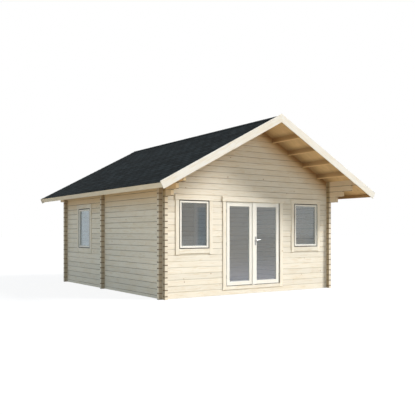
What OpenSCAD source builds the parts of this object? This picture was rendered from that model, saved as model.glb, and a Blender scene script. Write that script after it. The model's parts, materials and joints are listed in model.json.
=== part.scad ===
// Log garden house: two rooms under one gable roof with a deep front canopy,
// glazed double doors between two front windows and one window in the left side.
// Millimetres, +Z up. The origin is on the ground under the middle of the roof.

/* [Log walls] */
// Width over the outer faces of the side walls
wall_w = 5000; // [4600:10:5600]
// Depth over the outer faces of the end walls
wall_d = 5700; // [5300:10:6400]
// Thickness of a wall log
log_t = 70; // [60:1:80]
// Height that each course of logs adds to a wall
course = 135; // [130:1:140]
// Length of the log ends past each corner
log_end = 100; // [60:5:150]
// Depth of the V groove along each joint between logs
groove = 6; // [3:1:10]
// Height of the roof's underside at the outer face of a side wall
eave_h = 2727; // [2650:1:2800]
// Distance from the front wall's outer face to the partition's front face
partition_y = 3000; // [2700:10:3300]
// Width of the doorway in the partition
partition_door_w = 800; // [700:10:900]
// Courses of logs under the head of the partition's doorway
partition_door_courses = 16; // [14:1:17]
// Distance of that doorway's middle from the middle of the house
partition_door_x = 750; // [-600:10:900]

/* [Roof] */
// Pitch of the roof in degrees
pitch = 28; // [25:0.5:31]
// Roof beyond the front wall, to the face of the bargeboards
front_overhang = 1025; // [950:5:1200]
// Roof beyond the back wall, to the face of the bargeboards
back_overhang = 540; // [450:10:640]
// Roof boards beyond a side wall, level
eave_overhang = 555; // [450:5:650]
// Thickness of the roof boards
roof_board_t = 20; // [18:1:28]
// Thickness of the shingle covering
shingle_t = 6; // [4:1:10]
// Shingles past the face of the eave board
shingle_drip = 5; // [0:1:15]
// Width of the ridge shingles down each slope
ridge_shingle_w = 150; // [100:10:200]
// Width of a front bargeboard, square to the slope
bargeboard_w = 168; // [150:1:190]
// Thickness of a bargeboard
bargeboard_t = 20; // [18:1:30]
// Height of a front bargeboard's top edge above the shingles
bargeboard_rise = 33; // [7:1:40]
// Bargeboards past the face of the eave boards
bargeboard_past = 40; // [0:5:60]
// Width of an eave board, square to the slope
eave_board_w = 120; // [90:1:140]
// Thickness of an eave board
eave_board_t = 20; // [18:1:30]
// Width of a purlin
purlin_w = 70; // [45:1:90]
// Height of a purlin on its uphill side
purlin_h = 115; // [90:1:120]
// Distance from the ridge to the middle of the first purlin
purlin_first = 620; // [500:10:700]
// Distance between purlins
purlin_step = 500; // [440:5:520]
// Purlins on each slope
purlin_count = 4; // [3:1:4]
// Reach of the lowest corbel log in front of the front wall
corbel_low_reach = 350; // [300:5:400]
// Reach of the middle corbel log
corbel_mid_reach = 560; // [500:5:620]
// Reach of the highest corbel log
corbel_high_reach = 840; // [780:5:900]
// Gap between one layer of the roof and the next
seat_gap = 0.1; // [0.1:0.1:0.5]

/* [Floor] */
// Height of a floor bearer
bearer_h = 67; // [45:1:80]
// Width of a floor bearer
bearer_w = 60; // [45:1:80]
// Greatest distance between bearers
bearer_step = 600; // [500:10:700]
// Thickness of the floor boards
floor_board_t = 28; // [19:1:32]

/* [Windows] */
// Width between the casing boards of a window
window_w = 800; // [700:5:850]
// Height between the casing boards of a window
window_h = 1085; // [950:5:1120]
// Height of the middle of a front window
window_z = 1629; // [1600:1:1640]
// Distance from a corner of the front wall to the middle of its window
window_x = 810; // [780:5:830]
// Distance from the front wall's outer face to the middle of the side window
side_window_y = 4340; // [4100:10:4600]
// Thickness of a window frame or door frame member
frame_t = 45; // [35:1:50]
// Gap round a sash in its frame
sash_gap = 11; // [5:1:14]
// Width of a sash member
sash_w = 50; // [40:1:70]
// Thickness of a sash
sash_t = 44; // [36:1:56]
// Thickness of a pane
pane_t = 14; // [8:1:20]
// Depth of the groove that holds a pane
pane_bite = 10; // [6:1:15]

/* [Casings] */
// Width of a side casing board
side_casing_w = 90; // [80:1:100]
// Height of a bottom casing board
low_casing_h = 105; // [90:1:110]
// Height of a head casing board
head_casing_h = 112; // [100:1:116]
// Head casing past the side casings at each end
head_casing_past = 20; // [10:1:25]
// Side casings below a window's bottom casing
casing_foot = 27; // [10:1:35]
// Thickness of side and bottom casing boards
casing_t = 20; // [16:1:28]
// Thickness of a head casing board
head_casing_t = 32; // [20:1:40]
// Gap at the joints between casing boards
casing_gap = 1; // [1:0.5:2]

/* [Doors] */
// Width between the jambs of the doorway
doorway_w = 1620; // [1500:10:1660]
// Height of the doorway's threshold
threshold_z = 195; // [185:1:200]
// Height of the underside of the doorway's head
doorway_head_z = 2170; // [2100:1:2172]
// Thickness of a door leaf
leaf_t = 42; // [40:1:50]
// Gap round a door leaf in its frame
leaf_gap = 5; // [5:1:6]
// Width of a hinge stile
stile_w = 95; // [80:1:110]
// Width of the left leaf's meeting stile
slim_stile_w = 80; // [60:1:100]
// Width of the right leaf's lock stile
lock_stile_w = 135; // [125:1:150]
// Height of a top or bottom rail of a leaf
rail_h = 102; // [90:1:140]
// Gap between the two leaves
meeting_gap = 8; // [8:1:10]
// Distance from the middle of the doorway to the gap between the leaves
meeting_x = -44; // [-60:1:-20]
// Width of the cover strip on the lock stile
cover_strip_w = 65; // [50:1:75]
// Thickness of the cover strip
cover_strip_t = 12; // [8:1:16]

/* [Hinges and handle] */
// Radius of a hinge barrel
barrel_r = 7; // [6:0.5:7.5]
// Length of each half of a hinge barrel
barrel_len = 40; // [30:1:60]
// Radius of a hinge pin
pin_r = 4; // [3:0.5:4.5]
// Running clearance round a pin or spindle
pin_clear = 0.1; // [0.05:0.05:0.2]
// Distance of the outer hinges from the ends of a leaf
hinge_inset = 220; // [150:10:300]
// Height of the lever above the ground
lever_z = 1277; // [1100:1:1400]
// Length of the lever from its spindle
lever_len = 125; // [90:1:140]
// Radius of the lever and its neck
lever_r = 8; // [7.5:0.5:10]
// Distance of the lever from its plate
lever_stand = 40; // [30:1:60]
// Radius of the spindle
spindle_r = 7; // [5:0.5:7]
// Width of a handle plate
plate_w = 34; // [28:1:40]
// Height of a handle plate
plate_h = 200; // [160:5:240]
// Thickness of a handle plate
plate_t = 6; // [4:1:8]

/* [Hidden] */
$fn = 48;
// How far a cut reaches past what it cuts, and how far joined shapes run into each other
past = 60;
weld = 1;
half_course = 0.5;
lap_h = course / 4;
half_w = wall_w / 2;
roof_len = wall_d + front_overhang + back_overhang;
front_y = front_overhang - roof_len / 2;
back_y = front_y + wall_d;
room_half_w = half_w - log_t;
divide_y = front_y + partition_y;
roof_front_y = -roof_len / 2 + bargeboard_t;
roof_back_y = roof_len / 2 - bargeboard_t;
shingles_back_y = roof_len / 2;
ridge_z = eave_h + half_w * tan(pitch);
slope_len = (half_w + eave_overhang) / cos(pitch);
corbel_reaches = [corbel_low_reach, corbel_mid_reach, corbel_high_reach];
corbel_count = len(corbel_reaches);
corbel_top_z = course_below(eave_h, half_course);
corbel_low_z = corbel_top_z - corbel_count * course;
gable_courses = 4;
gable_low_z = course_below(eave_h, 0) - gable_courses * course;

// Layers of the roof, as distances out from its underside
boards_n = seat_gap;
boards_top_n = boards_n + roof_board_t;
shingles_n = boards_top_n + seat_gap;
covering_n = shingles_n + shingle_t;
ridge_n = covering_n + seat_gap;
bargeboard_top_n = covering_n + bargeboard_rise;
bargeboard_low_n = bargeboard_top_n - bargeboard_w;
eave_s = slope_len + seat_gap;

// Openings, measured over the frames that fill them
window_hole = [window_w + 2 * frame_t, window_h + 2 * frame_t];
front_window_x = half_w - window_x;
side_window_z = window_z - half_course * course;
side_window_mid_y = front_y + side_window_y;
doorway_hole_w = doorway_w + 2 * frame_t;
doorway_hole_top = doorway_head_z + frame_t;
front_low_z = course_above(window_z - window_hole[1] / 2, 0);
front_head_z = min(window_z + window_hole[1] / 2, doorway_hole_top);
front_high_z = min(course_below(front_head_z, 0), gable_low_z);
side_low_z = course_above(side_window_z - window_hole[1] / 2, half_course);
side_high_z = min(course_below(side_window_z + window_hole[1] / 2, half_course), corbel_low_z);
partition_head_z = min(partition_door_courses * course, gable_low_z);

// Door leaves, shut: their outer faces are in the wall's outer face
leaf_edge = doorway_w / 2 - leaf_gap;
leaf_low_z = threshold_z + leaf_gap;
leaf_high_z = doorway_head_z - leaf_gap;
left_leaf_end = meeting_x - meeting_gap / 2;
right_leaf_end = meeting_x + meeting_gap / 2;
lever_x = (right_leaf_end + cover_strip_w + right_leaf_end + lock_stile_w) / 2;
hinge_x = doorway_w / 2 - leaf_gap / 2;
barrel_stand = 1;
hinge_y = front_y - barrel_r - barrel_stand;
hinge_zs = [leaf_low_z + hinge_inset, (leaf_low_z + leaf_high_z) / 2, leaf_high_z - hinge_inset];

pine = "#ecdcbc";
trim = "#f3e6cb";
soffit_pine = "#d9bd8c";
bitumen = "#2d3234";
pane_grey = [0.55, 0.58, 0.6, 0.5];
steel = "#c4c6c8";

// Course lines: phase 0 for the end walls, half a course higher for the side walls
function course_above(z, phase) = course * (ceil(z / course - phase) + phase);
function course_below(z, phase) = course * (floor(z / course - phase) + phase);
function joints_between(z0, z1, phase) =
  [for (k = [floor(z0 / course - phase) + 1 : ceil(z1 / course - phase) - 1]) (k + phase) * course];

// Underside of the roof at a level distance from the ridge
function roof_z(x) = ridge_z - abs(x) * tan(pitch);
// A point at a distance down the right slope and a distance out from the roof's underside
function on_slope(s, n) = [s * cos(pitch) + n * sin(pitch), ridge_z - s * sin(pitch) + n * cos(pitch)];
function at_ridge(n) = on_slope(-n * tan(pitch), n);

// Extrusions of an outline in X and Z along Y, in Y and Z along X, and a box from its corners
module along_y(y0, y1) { translate([0, y1, 0]) rotate([90, 0, 0]) linear_extrude(y1 - y0) children(); }
module along_x(x0, x1) { translate([x0, 0, 0]) rotate([90, 0, 90]) linear_extrude(x1 - x0) children(); }
module block(low, high) { translate(low) cube(high - low); }
module mirrored(side) { if (side < 0) mirror([1, 0, 0]) children(); else children(); }

// Section of a stack of logs, with a V groove on both faces at every joint
module log_section(z0, z1, phase) {
  joints = joints_between(z0, z1, phase);
  rise = concat(
    z0 > 0 ? [[groove, z0], [0, z0 + groove]] : [[0, z0]],
    [for (z = joints, p = [[0, -groove], [groove, 0], [0, groove]]) [p[0], z + p[1]]],
    [[0, z1 - groove], [groove, z1]]);
  count = len(rise);
  polygon(concat(rise, [for (i = [1 : count]) [log_t - rise[count - i][0], rise[count - i][1]]]));
}

// Logs that run along X with their outer face at y, and logs that run along Y with a face at x
module logs_along_x(x0, x1, y, z0, z1) {
  translate([0, y, 0]) along_x(x0, x1) log_section(z0, z1, 0);
}
module logs_along_y(y0, y1, x, z0, z1) {
  translate([x, 0, 0]) along_y(y0, y1) log_section(z0, z1, half_course);
}
module under_roof(y0, y1) {
  reach = half_w + log_end + past;
  along_y(y0, y1) polygon([
    [-reach, 0], [reach, 0], [reach, roof_z(reach)], [0, ridge_z], [-reach, roof_z(reach)]]);
}

// Half-lap notches: at every crossing each wall keeps the middle half of its own courses
module side_log_laps(y) {
  for (side = [-1, 1], k = [0 : ceil(eave_h / course)])
    mirrored(side) block(
      [half_w - log_t, y - past, k * course - lap_h],
      [half_w, y + log_t + past, k * course + lap_h]);
}
module end_log_laps() {
  for (side = [-1, 1], y = [front_y, divide_y, back_y - log_t], k = [0 : ceil(eave_h / course)])
    mirrored(side) block(
      [half_w - log_t - past, y, k * course + lap_h],
      [half_w + past, y + log_t, (k + 1) * course - lap_h]);
}

// Holes that the window and door frames fill
module front_holes() {
  for (side = [-1, 1])
    block(
      [side * front_window_x - window_hole[0] / 2, front_y - past, window_z - window_hole[1] / 2],
      [side * front_window_x + window_hole[0] / 2, front_y + log_t + past, window_z + window_hole[1] / 2]);
  block(
    [-doorway_hole_w / 2, front_y - past, course],
    [doorway_hole_w / 2, front_y + log_t + past, doorway_hole_top]);
}
module side_hole() {
  block(
    [-half_w - past, side_window_mid_y - window_hole[0] / 2, side_window_z - window_hole[1] / 2],
    [-half_w + log_t + past, side_window_mid_y + window_hole[0] / 2, side_window_z + window_hole[1] / 2]);
}

// A stretch of an end wall or the partition, notched for the side walls and the purlins
module end_wall(y, x0, x1, z0, z1) {
  difference() {
    intersection() {
      logs_along_x(x0, x1, y, z0, z1);
      under_roof(y - past, y + log_t + past);
    }
    side_log_laps(y);
    if (z1 > eave_h) purlin_notches();
  }
}
module front_wall(x0, x1, z0, z1) {
  difference() {
    end_wall(front_y, x0, x1, z0, z1);
    front_holes();
  }
}
module side_wall(y0, y1, z0, z1) {
  difference() {
    logs_along_y(y0, y1, -half_w, z0, z1);
    end_log_laps();
  }
}

// End walls
wall_x0 = -half_w - log_end;
wall_x1 = half_w + log_end;
module front_bottom_log() { color(pine) end_wall(front_y, wall_x0, wall_x1, 0, course); }
module front_lower_logs() { color(pine) front_wall(wall_x0, wall_x1, course, front_low_z); }
module front_window_logs() { color(pine) front_wall(wall_x0, wall_x1, front_low_z, front_high_z); }
module front_gable() { color(pine) front_wall(wall_x0, wall_x1, front_high_z, ridge_z + past); }
module back_wall() { color(pine) end_wall(back_y - log_t, wall_x0, wall_x1, 0, ridge_z + past); }

// Partition, with a plain doorway over its bottom log
module partition_bottom_log() { color(pine) end_wall(divide_y, wall_x0, wall_x1, 0, course); }
module partition_logs() {
  color(pine) {
    end_wall(divide_y, wall_x0, partition_door_x - partition_door_w / 2, course, partition_head_z);
    end_wall(divide_y, partition_door_x + partition_door_w / 2, wall_x1, course, partition_head_z);
  }
}
module partition_gable() {
  color(pine) end_wall(divide_y, wall_x0, wall_x1, partition_head_z, ridge_z + past);
}

// Side walls: plain courses, then courses that step out to carry the eaves
wall_y0 = front_y - log_end;
wall_y1 = back_y + log_end;
module left_lower_logs() {
  color(pine) difference() { side_wall(wall_y0, wall_y1, 0, side_low_z); side_hole(); }
}
module left_window_logs() {
  color(pine) difference() { side_wall(wall_y0, wall_y1, side_low_z, side_high_z); side_hole(); }
}
function corbel_y(k) = front_y - corbel_reaches[k];
module corbel_steps(z0) {
  block([-half_w - past, roof_front_y - past, z0], [-half_w + log_t + past, wall_y0, corbel_low_z]);
  block([-half_w - past, wall_y1, z0], [-half_w + log_t + past, roof_back_y + past, corbel_low_z + course]);
  for (k = [0 : corbel_count - 1])
    block(
      [-half_w - past, roof_front_y - past, corbel_low_z + k * course],
      [-half_w + log_t + past, corbel_y(k), corbel_low_z + (k + 1) * course]);
}
module stepped_logs(z0) {
  difference() {
    intersection() {
      logs_along_y(roof_front_y, roof_back_y, -half_w, z0, corbel_top_z + course);
      under_roof(roof_front_y - past, roof_back_y + past);
    }
    corbel_steps(z0);
    end_log_laps();
  }
}
module left_top_logs() {
  color(pine) difference() { stepped_logs(side_high_z); side_hole(); }
}
module right_wall_logs() { color(pine) mirrored(-1) side_wall(wall_y0, wall_y1, 0, side_high_z); }
module right_top_logs() { color(pine) mirrored(-1) stepped_logs(side_high_z); }

// Floor
module bearers(y0, y1) {
  gaps = ceil((y1 - y0 - bearer_w) / bearer_step);
  for (k = [0 : gaps])
    translate([-room_half_w, y0 + k * (y1 - y0 - bearer_w) / gaps, 0])
      cube([2 * room_half_w, bearer_w, bearer_h]);
}
module floor_bearers() {
  color(soffit_pine) {
    bearers(front_y + log_t, divide_y);
    bearers(divide_y + log_t, back_y - log_t);
  }
}
module floor_boards(y0, y1) {
  color(soffit_pine)
    block([-room_half_w, y0, bearer_h], [room_half_w, y1, bearer_h + floor_board_t]);
}

// Roof: purlins, boards, shingles and the boards round its edges
purlin_xs = [for (k = [0 : purlin_count - 1]) purlin_first + k * purlin_step];
module roof_layer(n0, n1, s_end) {
  polygon([at_ridge(n0), on_slope(s_end, n0), on_slope(s_end, n1), at_ridge(n1)]);
}
module purlin_section(x) {
  inner = x - purlin_w / 2;
  outer = x + purlin_w / 2;
  low = roof_z(inner) - purlin_h;
  polygon([[inner, low], [outer, low], [outer, roof_z(outer)], [inner, roof_z(inner)]]);
}
module purlins(side) {
  color(soffit_pine) mirrored(side) for (x = purlin_xs)
    along_y(roof_front_y, roof_back_y) purlin_section(x);
}
module ridge_purlin() {
  half = purlin_w / 2;
  low = roof_z(half) - purlin_h;
  color(soffit_pine) along_y(roof_front_y, roof_back_y)
    polygon([[-half, low], [half, low], [half, roof_z(half)], [0, ridge_z], [-half, roof_z(half)]]);
}

// Notches in the gables for the purlins, open at the top
module purlin_notches() {
  along_y(roof_front_y, roof_back_y) {
    purlin_notch(0, roof_z(purlin_w / 2));
    for (x = purlin_xs, side = [-1, 1]) purlin_notch(side * x, roof_z(x - purlin_w / 2));
  }
}
module purlin_notch(x, top) {
  translate([x - purlin_w / 2, top - purlin_h]) square([purlin_w, purlin_h + past]);
}

module roof_boards(side) {
  color(soffit_pine) mirrored(side)
    along_y(roof_front_y, roof_back_y) roof_layer(boards_n, boards_top_n, slope_len);
}
module shingles(side) {
  color(bitumen) mirrored(side) along_y(roof_front_y, shingles_back_y)
    roof_layer(shingles_n, covering_n, eave_s + eave_board_t + shingle_drip);
}
module ridge_shingles() {
  low = on_slope(ridge_shingle_w, ridge_n);
  high = on_slope(ridge_shingle_w, ridge_n + shingle_t);
  color(bitumen) along_y(roof_front_y, shingles_back_y) polygon([
    at_ridge(ridge_n + shingle_t), high, low,
    at_ridge(ridge_n), [-low[0], low[1]], [-high[0], high[1]]]);
}
// The front bargeboards rise past the shingles; the back ones end under them
module bargeboard(side, y, top) {
  color(trim) mirrored(side) along_y(y, y + bargeboard_t)
    roof_layer(bargeboard_low_n, top, eave_s + eave_board_t + bargeboard_past);
}
module eave_board(side) {
  s1 = eave_s + eave_board_t;
  low = boards_top_n - eave_board_w;
  color(trim) mirrored(side) along_y(roof_front_y, roof_back_y) polygon([
    on_slope(eave_s, low), on_slope(s1, low), on_slope(s1, boards_top_n), on_slope(eave_s, boards_top_n)]);
}

// Windows, drawn in a wall that faces -Y with the middle of the window at the origin
module ring(w, h, member, y0, y1) {
  difference() {
    block([-w / 2, y0, -h / 2], [w / 2, y1, h / 2]);
    block([-w / 2 + member, y0 - past, -h / 2 + member], [w / 2 - member, y1 + past, h / 2 - member]);
  }
}
sash_size = [window_w - 2 * sash_gap, window_h - 2 * sash_gap];
pane_size = [sash_size[0] - 2 * sash_w + 2 * pane_bite, sash_size[1] - 2 * sash_w + 2 * pane_bite];
stop_lap = 12;
stop_w = sash_gap + stop_lap;
module pane_block(size, t) {
  block([-size[0] / 2, t / 2 - pane_t / 2, -size[1] / 2], [size[0] / 2, t / 2 + pane_t / 2, size[1] / 2]);
}
// The back of the frame closes over the gap round the sash and holds the sash in place
module window_frame() {
  color(trim) union() {
    ring(window_hole[0], window_hole[1], frame_t, 0, log_t);
    ring(window_w + 2 * weld, window_h + 2 * weld, stop_w + weld, sash_t, log_t);
  }
}
module window_sash() {
  color(trim) difference() {
    ring(sash_size[0], sash_size[1], sash_w, 0, sash_t);
    pane_block(pane_size, sash_t);
  }
}
module window_pane() { color(pane_grey) pane_block(pane_size, sash_t); }

// Casing boards round an opening: two sides, a head that reaches past them and a bottom board
module casing(w, low, high, foot) {
  side_low = low - low_casing_h - foot;
  color(trim) {
    for (side = [-1, 1])
      mirrored(side) block([w / 2, -casing_t, side_low], [w / 2 + side_casing_w, 0, high - casing_gap]);
    block(
      [-w / 2 - side_casing_w - head_casing_past, -head_casing_t, high],
      [w / 2 + side_casing_w + head_casing_past, 0, high + head_casing_h]);
    block([-w / 2 + casing_gap, -casing_t, low - low_casing_h], [w / 2 - casing_gap, 0, low]);
  }
}
module window_casing() { casing(window_w, -window_h / 2, window_h / 2, casing_foot); }
module at_front_window(side) { translate([side * front_window_x, front_y, window_z]) children(); }
module at_side_window() {
  translate([-half_w, side_window_mid_y, side_window_z]) rotate([0, 0, -90]) children();
}

// Doorway
casing_reveal = 10;
sill_casing_h = 76;
module door_frame() {
  color(trim) difference() {
    block([-doorway_hole_w / 2, front_y, course], [doorway_hole_w / 2, front_y + log_t, doorway_hole_top]);
    block(
      [-doorway_w / 2, front_y - past, threshold_z],
      [doorway_w / 2, front_y + log_t + past, doorway_head_z]);
  }
}
module door_casing() {
  inner = doorway_w / 2 + casing_reveal;
  low = threshold_z - sill_casing_h;
  color(trim) translate([0, front_y, 0]) {
    for (side = [-1, 1])
      mirrored(side) block([inner, -casing_t, low], [inner + side_casing_w, 0, doorway_head_z - casing_gap]);
    block(
      [-inner - side_casing_w - head_casing_past, -head_casing_t, doorway_head_z],
      [inner + side_casing_w + head_casing_past, 0, doorway_head_z + head_casing_h]);
    block([-inner + casing_gap, -casing_t, low], [inner - casing_gap, 0, threshold_z]);
  }
}

// A leaf from x0 to x1 with its two stiles, and the pane in it
module leaf_panel(x0, x1, stile0, stile1, grow, y0, y1) {
  block(
    [x0 + stile0 - grow, front_y + y0, leaf_low_z + rail_h - grow],
    [x1 - stile1 + grow, front_y + y1, leaf_high_z - rail_h + grow]);
}
module leaf(x0, x1, stile0, stile1) {
  difference() {
    block([x0, front_y, leaf_low_z], [x1, front_y + leaf_t, leaf_high_z]);
    leaf_panel(x0, x1, stile0, stile1, 0, -past, leaf_t + past);
    leaf_pane(x0, x1, stile0, stile1);
  }
}
module leaf_pane(x0, x1, stile0, stile1) {
  leaf_panel(x0, x1, stile0, stile1, pane_bite, leaf_t / 2 - pane_t / 2, leaf_t / 2 + pane_t / 2);
}
spindle_room = 3;
module left_leaf() { color(trim) leaf(-leaf_edge, left_leaf_end, stile_w, slim_stile_w); }
module left_leaf_pane() { color(pane_grey) leaf_pane(-leaf_edge, left_leaf_end, stile_w, slim_stile_w); }
module right_leaf() {
  color(trim) difference() {
    union() {
      leaf(right_leaf_end, leaf_edge, lock_stile_w, stile_w);
      block(
        [right_leaf_end, front_y - cover_strip_t, leaf_low_z],
        [right_leaf_end + cover_strip_w, front_y, leaf_high_z]);
    }
    spindle(spindle_r + spindle_room, -past, leaf_t + past);
  }
}
module right_leaf_pane() { color(pane_grey) leaf_pane(right_leaf_end, leaf_edge, lock_stile_w, stile_w); }

// Barrel hinges: the lower half and its pin are on the frame, the upper half turns with the leaf
module at_hinges() {
  for (z = hinge_zs) translate([hinge_x, hinge_y, z]) children();
}
barrel_tab = 6;
barrel_tab_inset = 4;
pin_short = 2;
module hinge_pins() {
  tab_x = (casing_reveal - leaf_gap / 2) / 2 + leaf_gap / 2;
  color(steel) for (side = [-1, 1]) mirrored(side) at_hinges() {
    translate([0, 0, -barrel_len]) cylinder(r = barrel_r, h = barrel_len);
    cylinder(r = pin_r, h = barrel_len - pin_short);
    block(
      [tab_x - barrel_tab / 2, 0, barrel_tab_inset - barrel_len],
      [tab_x + barrel_tab / 2, front_y - hinge_y, -barrel_tab_inset]);
  }
}
module hinge_barrels(side) {
  tab_x = -hinge_x + leaf_edge - barrel_tab / 2;
  color(steel) mirrored(side) at_hinges() difference() {
    union() {
      cylinder(r = barrel_r, h = barrel_len);
      block(
        [tab_x - barrel_tab / 2, 0, barrel_tab_inset],
        [tab_x + barrel_tab / 2, front_y - hinge_y, barrel_len - barrel_tab_inset]);
    }
    translate([0, 0, -past]) cylinder(r = pin_r + pin_clear, h = barrel_len + 2 * past);
  }
}

// Handle: a plate on each face of the lock stile, and one lever piece through both
module spindle(r, y0, y1) {
  translate([lever_x, front_y + y0, lever_z]) rotate([-90, 0, 0]) cylinder(r = r, h = y1 - y0);
}
plate_drop = 0.65 * plate_h;
module handle_plate(y0) {
  difference() {
    block(
      [lever_x - plate_w / 2, front_y + y0, lever_z - plate_drop],
      [lever_x + plate_w / 2, front_y + y0 + plate_t, lever_z - plate_drop + plate_h]);
    spindle(spindle_r + pin_clear, -past, leaf_t + past);
  }
}
module handle_plates() {
  color(steel) {
    handle_plate(-plate_t);
    handle_plate(leaf_t);
  }
}
module lever_arm(y) {
  translate([lever_x, front_y + y, lever_z]) {
    sphere(r = lever_r);
    rotate([0, 90, 0]) cylinder(r = lever_r, h = lever_len - lever_r);
    translate([lever_len - lever_r, 0, 0]) sphere(r = lever_r);
  }
}
module door_lever() {
  reach = plate_t + lever_stand;
  color(steel) union() {
    spindle(spindle_r, -reach, leaf_t + reach);
    lever_arm(-reach);
    lever_arm(leaf_t + reach);
  }
}

front_bottom_log();
front_lower_logs();
front_window_logs();
front_gable();
left_lower_logs();
left_window_logs();
left_top_logs();
right_wall_logs();
right_top_logs();
back_wall();
partition_bottom_log();
partition_logs();
partition_gable();
floor_bearers();
floor_boards(front_y + log_t, divide_y);  // front_floor
floor_boards(divide_y + log_t, back_y - log_t);  // rear_floor
roof_boards(-1);  // left_roof_boards
roof_boards(1);  // right_roof_boards
shingles(-1);  // left_shingles
shingles(1);  // right_shingles
ridge_shingles();
ridge_purlin();
purlins(-1);  // left_purlins
purlins(1);  // right_purlins
bargeboard(-1, -roof_len / 2, bargeboard_top_n);  // front_left_bargeboard
bargeboard(1, -roof_len / 2, bargeboard_top_n);  // front_right_bargeboard
bargeboard(-1, roof_back_y, boards_top_n);  // back_left_bargeboard
bargeboard(1, roof_back_y, boards_top_n);  // back_right_bargeboard
eave_board(-1);  // left_eave_board
eave_board(1);  // right_eave_board
at_front_window(-1) window_frame();  // left_window_frame
at_front_window(-1) window_sash();  // left_window_sash
at_front_window(-1) window_pane();  // left_window_pane
at_front_window(-1) window_casing();  // left_window_casing
at_front_window(1) window_frame();  // right_window_frame
at_front_window(1) window_sash();  // right_window_sash
at_front_window(1) window_pane();  // right_window_pane
at_front_window(1) window_casing();  // right_window_casing
at_side_window() window_frame();  // side_window_frame
at_side_window() window_sash();  // side_window_sash
at_side_window() window_pane();  // side_window_pane
at_side_window() window_casing();  // side_window_casing
door_frame();
door_casing();
hinge_pins();
left_leaf();
left_leaf_pane();
hinge_barrels(-1);  // left_hinge_barrels
right_leaf();
right_leaf_pane();
hinge_barrels(1);  // right_hinge_barrels
handle_plates();
door_lever();
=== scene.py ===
"""Looks of the log garden house: timber, shingles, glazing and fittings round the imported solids."""

import json
import math
import random

import bmesh
import bpy
from bpy.props import FloatProperty, FloatVectorProperty, IntProperty, PointerProperty
from mathutils import Matrix, Vector


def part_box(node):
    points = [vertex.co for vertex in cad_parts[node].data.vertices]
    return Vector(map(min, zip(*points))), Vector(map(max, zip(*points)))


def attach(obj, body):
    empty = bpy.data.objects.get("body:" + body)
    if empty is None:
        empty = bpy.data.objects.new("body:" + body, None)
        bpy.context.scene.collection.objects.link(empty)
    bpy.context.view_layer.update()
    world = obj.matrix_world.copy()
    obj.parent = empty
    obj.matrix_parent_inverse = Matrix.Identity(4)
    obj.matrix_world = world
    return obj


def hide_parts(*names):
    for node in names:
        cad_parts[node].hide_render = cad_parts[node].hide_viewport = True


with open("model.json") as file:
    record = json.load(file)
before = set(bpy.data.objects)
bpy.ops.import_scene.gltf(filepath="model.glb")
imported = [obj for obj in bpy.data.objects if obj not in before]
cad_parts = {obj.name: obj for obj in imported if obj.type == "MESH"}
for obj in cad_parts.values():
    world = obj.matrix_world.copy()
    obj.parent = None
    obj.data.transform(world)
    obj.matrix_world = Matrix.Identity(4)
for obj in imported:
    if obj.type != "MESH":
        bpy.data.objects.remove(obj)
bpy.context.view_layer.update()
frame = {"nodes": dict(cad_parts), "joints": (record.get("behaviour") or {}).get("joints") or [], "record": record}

bl_info = {
    "name": "Log garden house",
    "version": (1, 0, 0),
    "blender": (4, 5, 0),
    "location": "3D View > Sidebar > Garden House",
    "description": "Dresses a packed log garden house with timber, shingles, glazing and fittings",
    "category": "Object",
}

# Main lines of the house, as in its solids
PITCH = math.radians(28)
RIDGE_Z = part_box("ridge_purlin")[1].z
FRONT_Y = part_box("front_gable")[0].y
BACK_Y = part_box("back_wall")[1].y
HALF_W = -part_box("left_lower_logs")[0].x
ROOF_Y0, ROOF_Y1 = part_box("left_roof_boards")[0].y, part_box("left_roof_boards")[1].y
COVER_Y0, COVER_Y1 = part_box("left_shingles")[0].y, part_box("left_shingles")[1].y
COURSE = 0.135

# Layers of the roof, square to it from the underside of its boards, and their lengths down the slope
BOARDS_N, BOARDS_TOP_N = 0.0001, 0.0201
SHINGLES_N, COVERING_N = 0.0202, 0.0262
RIDGE_N = 0.0263
BOARDS_S = (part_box("right_roof_boards")[1].x - BOARDS_TOP_N * math.sin(PITCH)) / math.cos(PITCH)
SHINGLES_S = (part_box("right_shingles")[1].x - COVERING_N * math.sin(PITCH)) / math.cos(PITCH)

# Members of the joinery, as in the solids
FRAME_W, FRAME_DEPTH, SILL_H, STOP = 0.045, 0.07, 0.06, 0.014
SASH_W, SASH_T, SASH_GAP = 0.05, 0.044, 0.011
LEAF_T, LEAF_RAIL, COVER_STRIP = 0.042, 0.102, 0.065
LEAF_STILES = {"left": (0.095, 0.080), "right": (0.135, 0.095)}
PANE_T, CASING_T = 0.014, 0.020

# Eased edges of the frames, of the sashes and leaves, and of the cover strip
FRAME_EDGE, LEAF_EDGE, COVER_EDGE = 0.002, 0.003, 0.004

# Air between faces that would else lie in one plane
HAIR, AIR, FIT = 0.0001, 0.0002, 0.0005

# Corners of the solids nearer than this are one, and a place along Y past both ends of the house
MERGE, FAR_Y = 1e-5, 9.0

LOGS_ALONG_X = (
    "front_bottom_log", "front_lower_logs", "front_window_logs", "front_gable", "back_wall",
    "partition_bottom_log", "partition_logs", "partition_gable",
)
LOGS_ALONG_Y = ("left_lower_logs", "left_window_logs", "left_top_logs", "right_wall_logs", "right_top_logs")
WINDOWS = ("left", "right", "side")

# Along the grain, then the two ways across it
GRAIN_ORDER = {"X": (0, 2, 1), "Y": (1, 2, 0), "Z": (2, 0, 1)}
PLANK_AXES = [Vector((0, 1, 0)), Vector((1, 0, 0)), Vector((0, 0, 1))]

# Shift through the wood from one timber to the next, knots to a metre, and how dense the grain is
TIMBER_SHIFT = (31.0, 17.0, 7.0)
KNOTS_PER_M = 3.6
RINGS_ALONG, RINGS_ACROSS = 0.55, 9.0
FIBRES_ALONG, FIBRES_ACROSS = 9.0, 330.0

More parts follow.
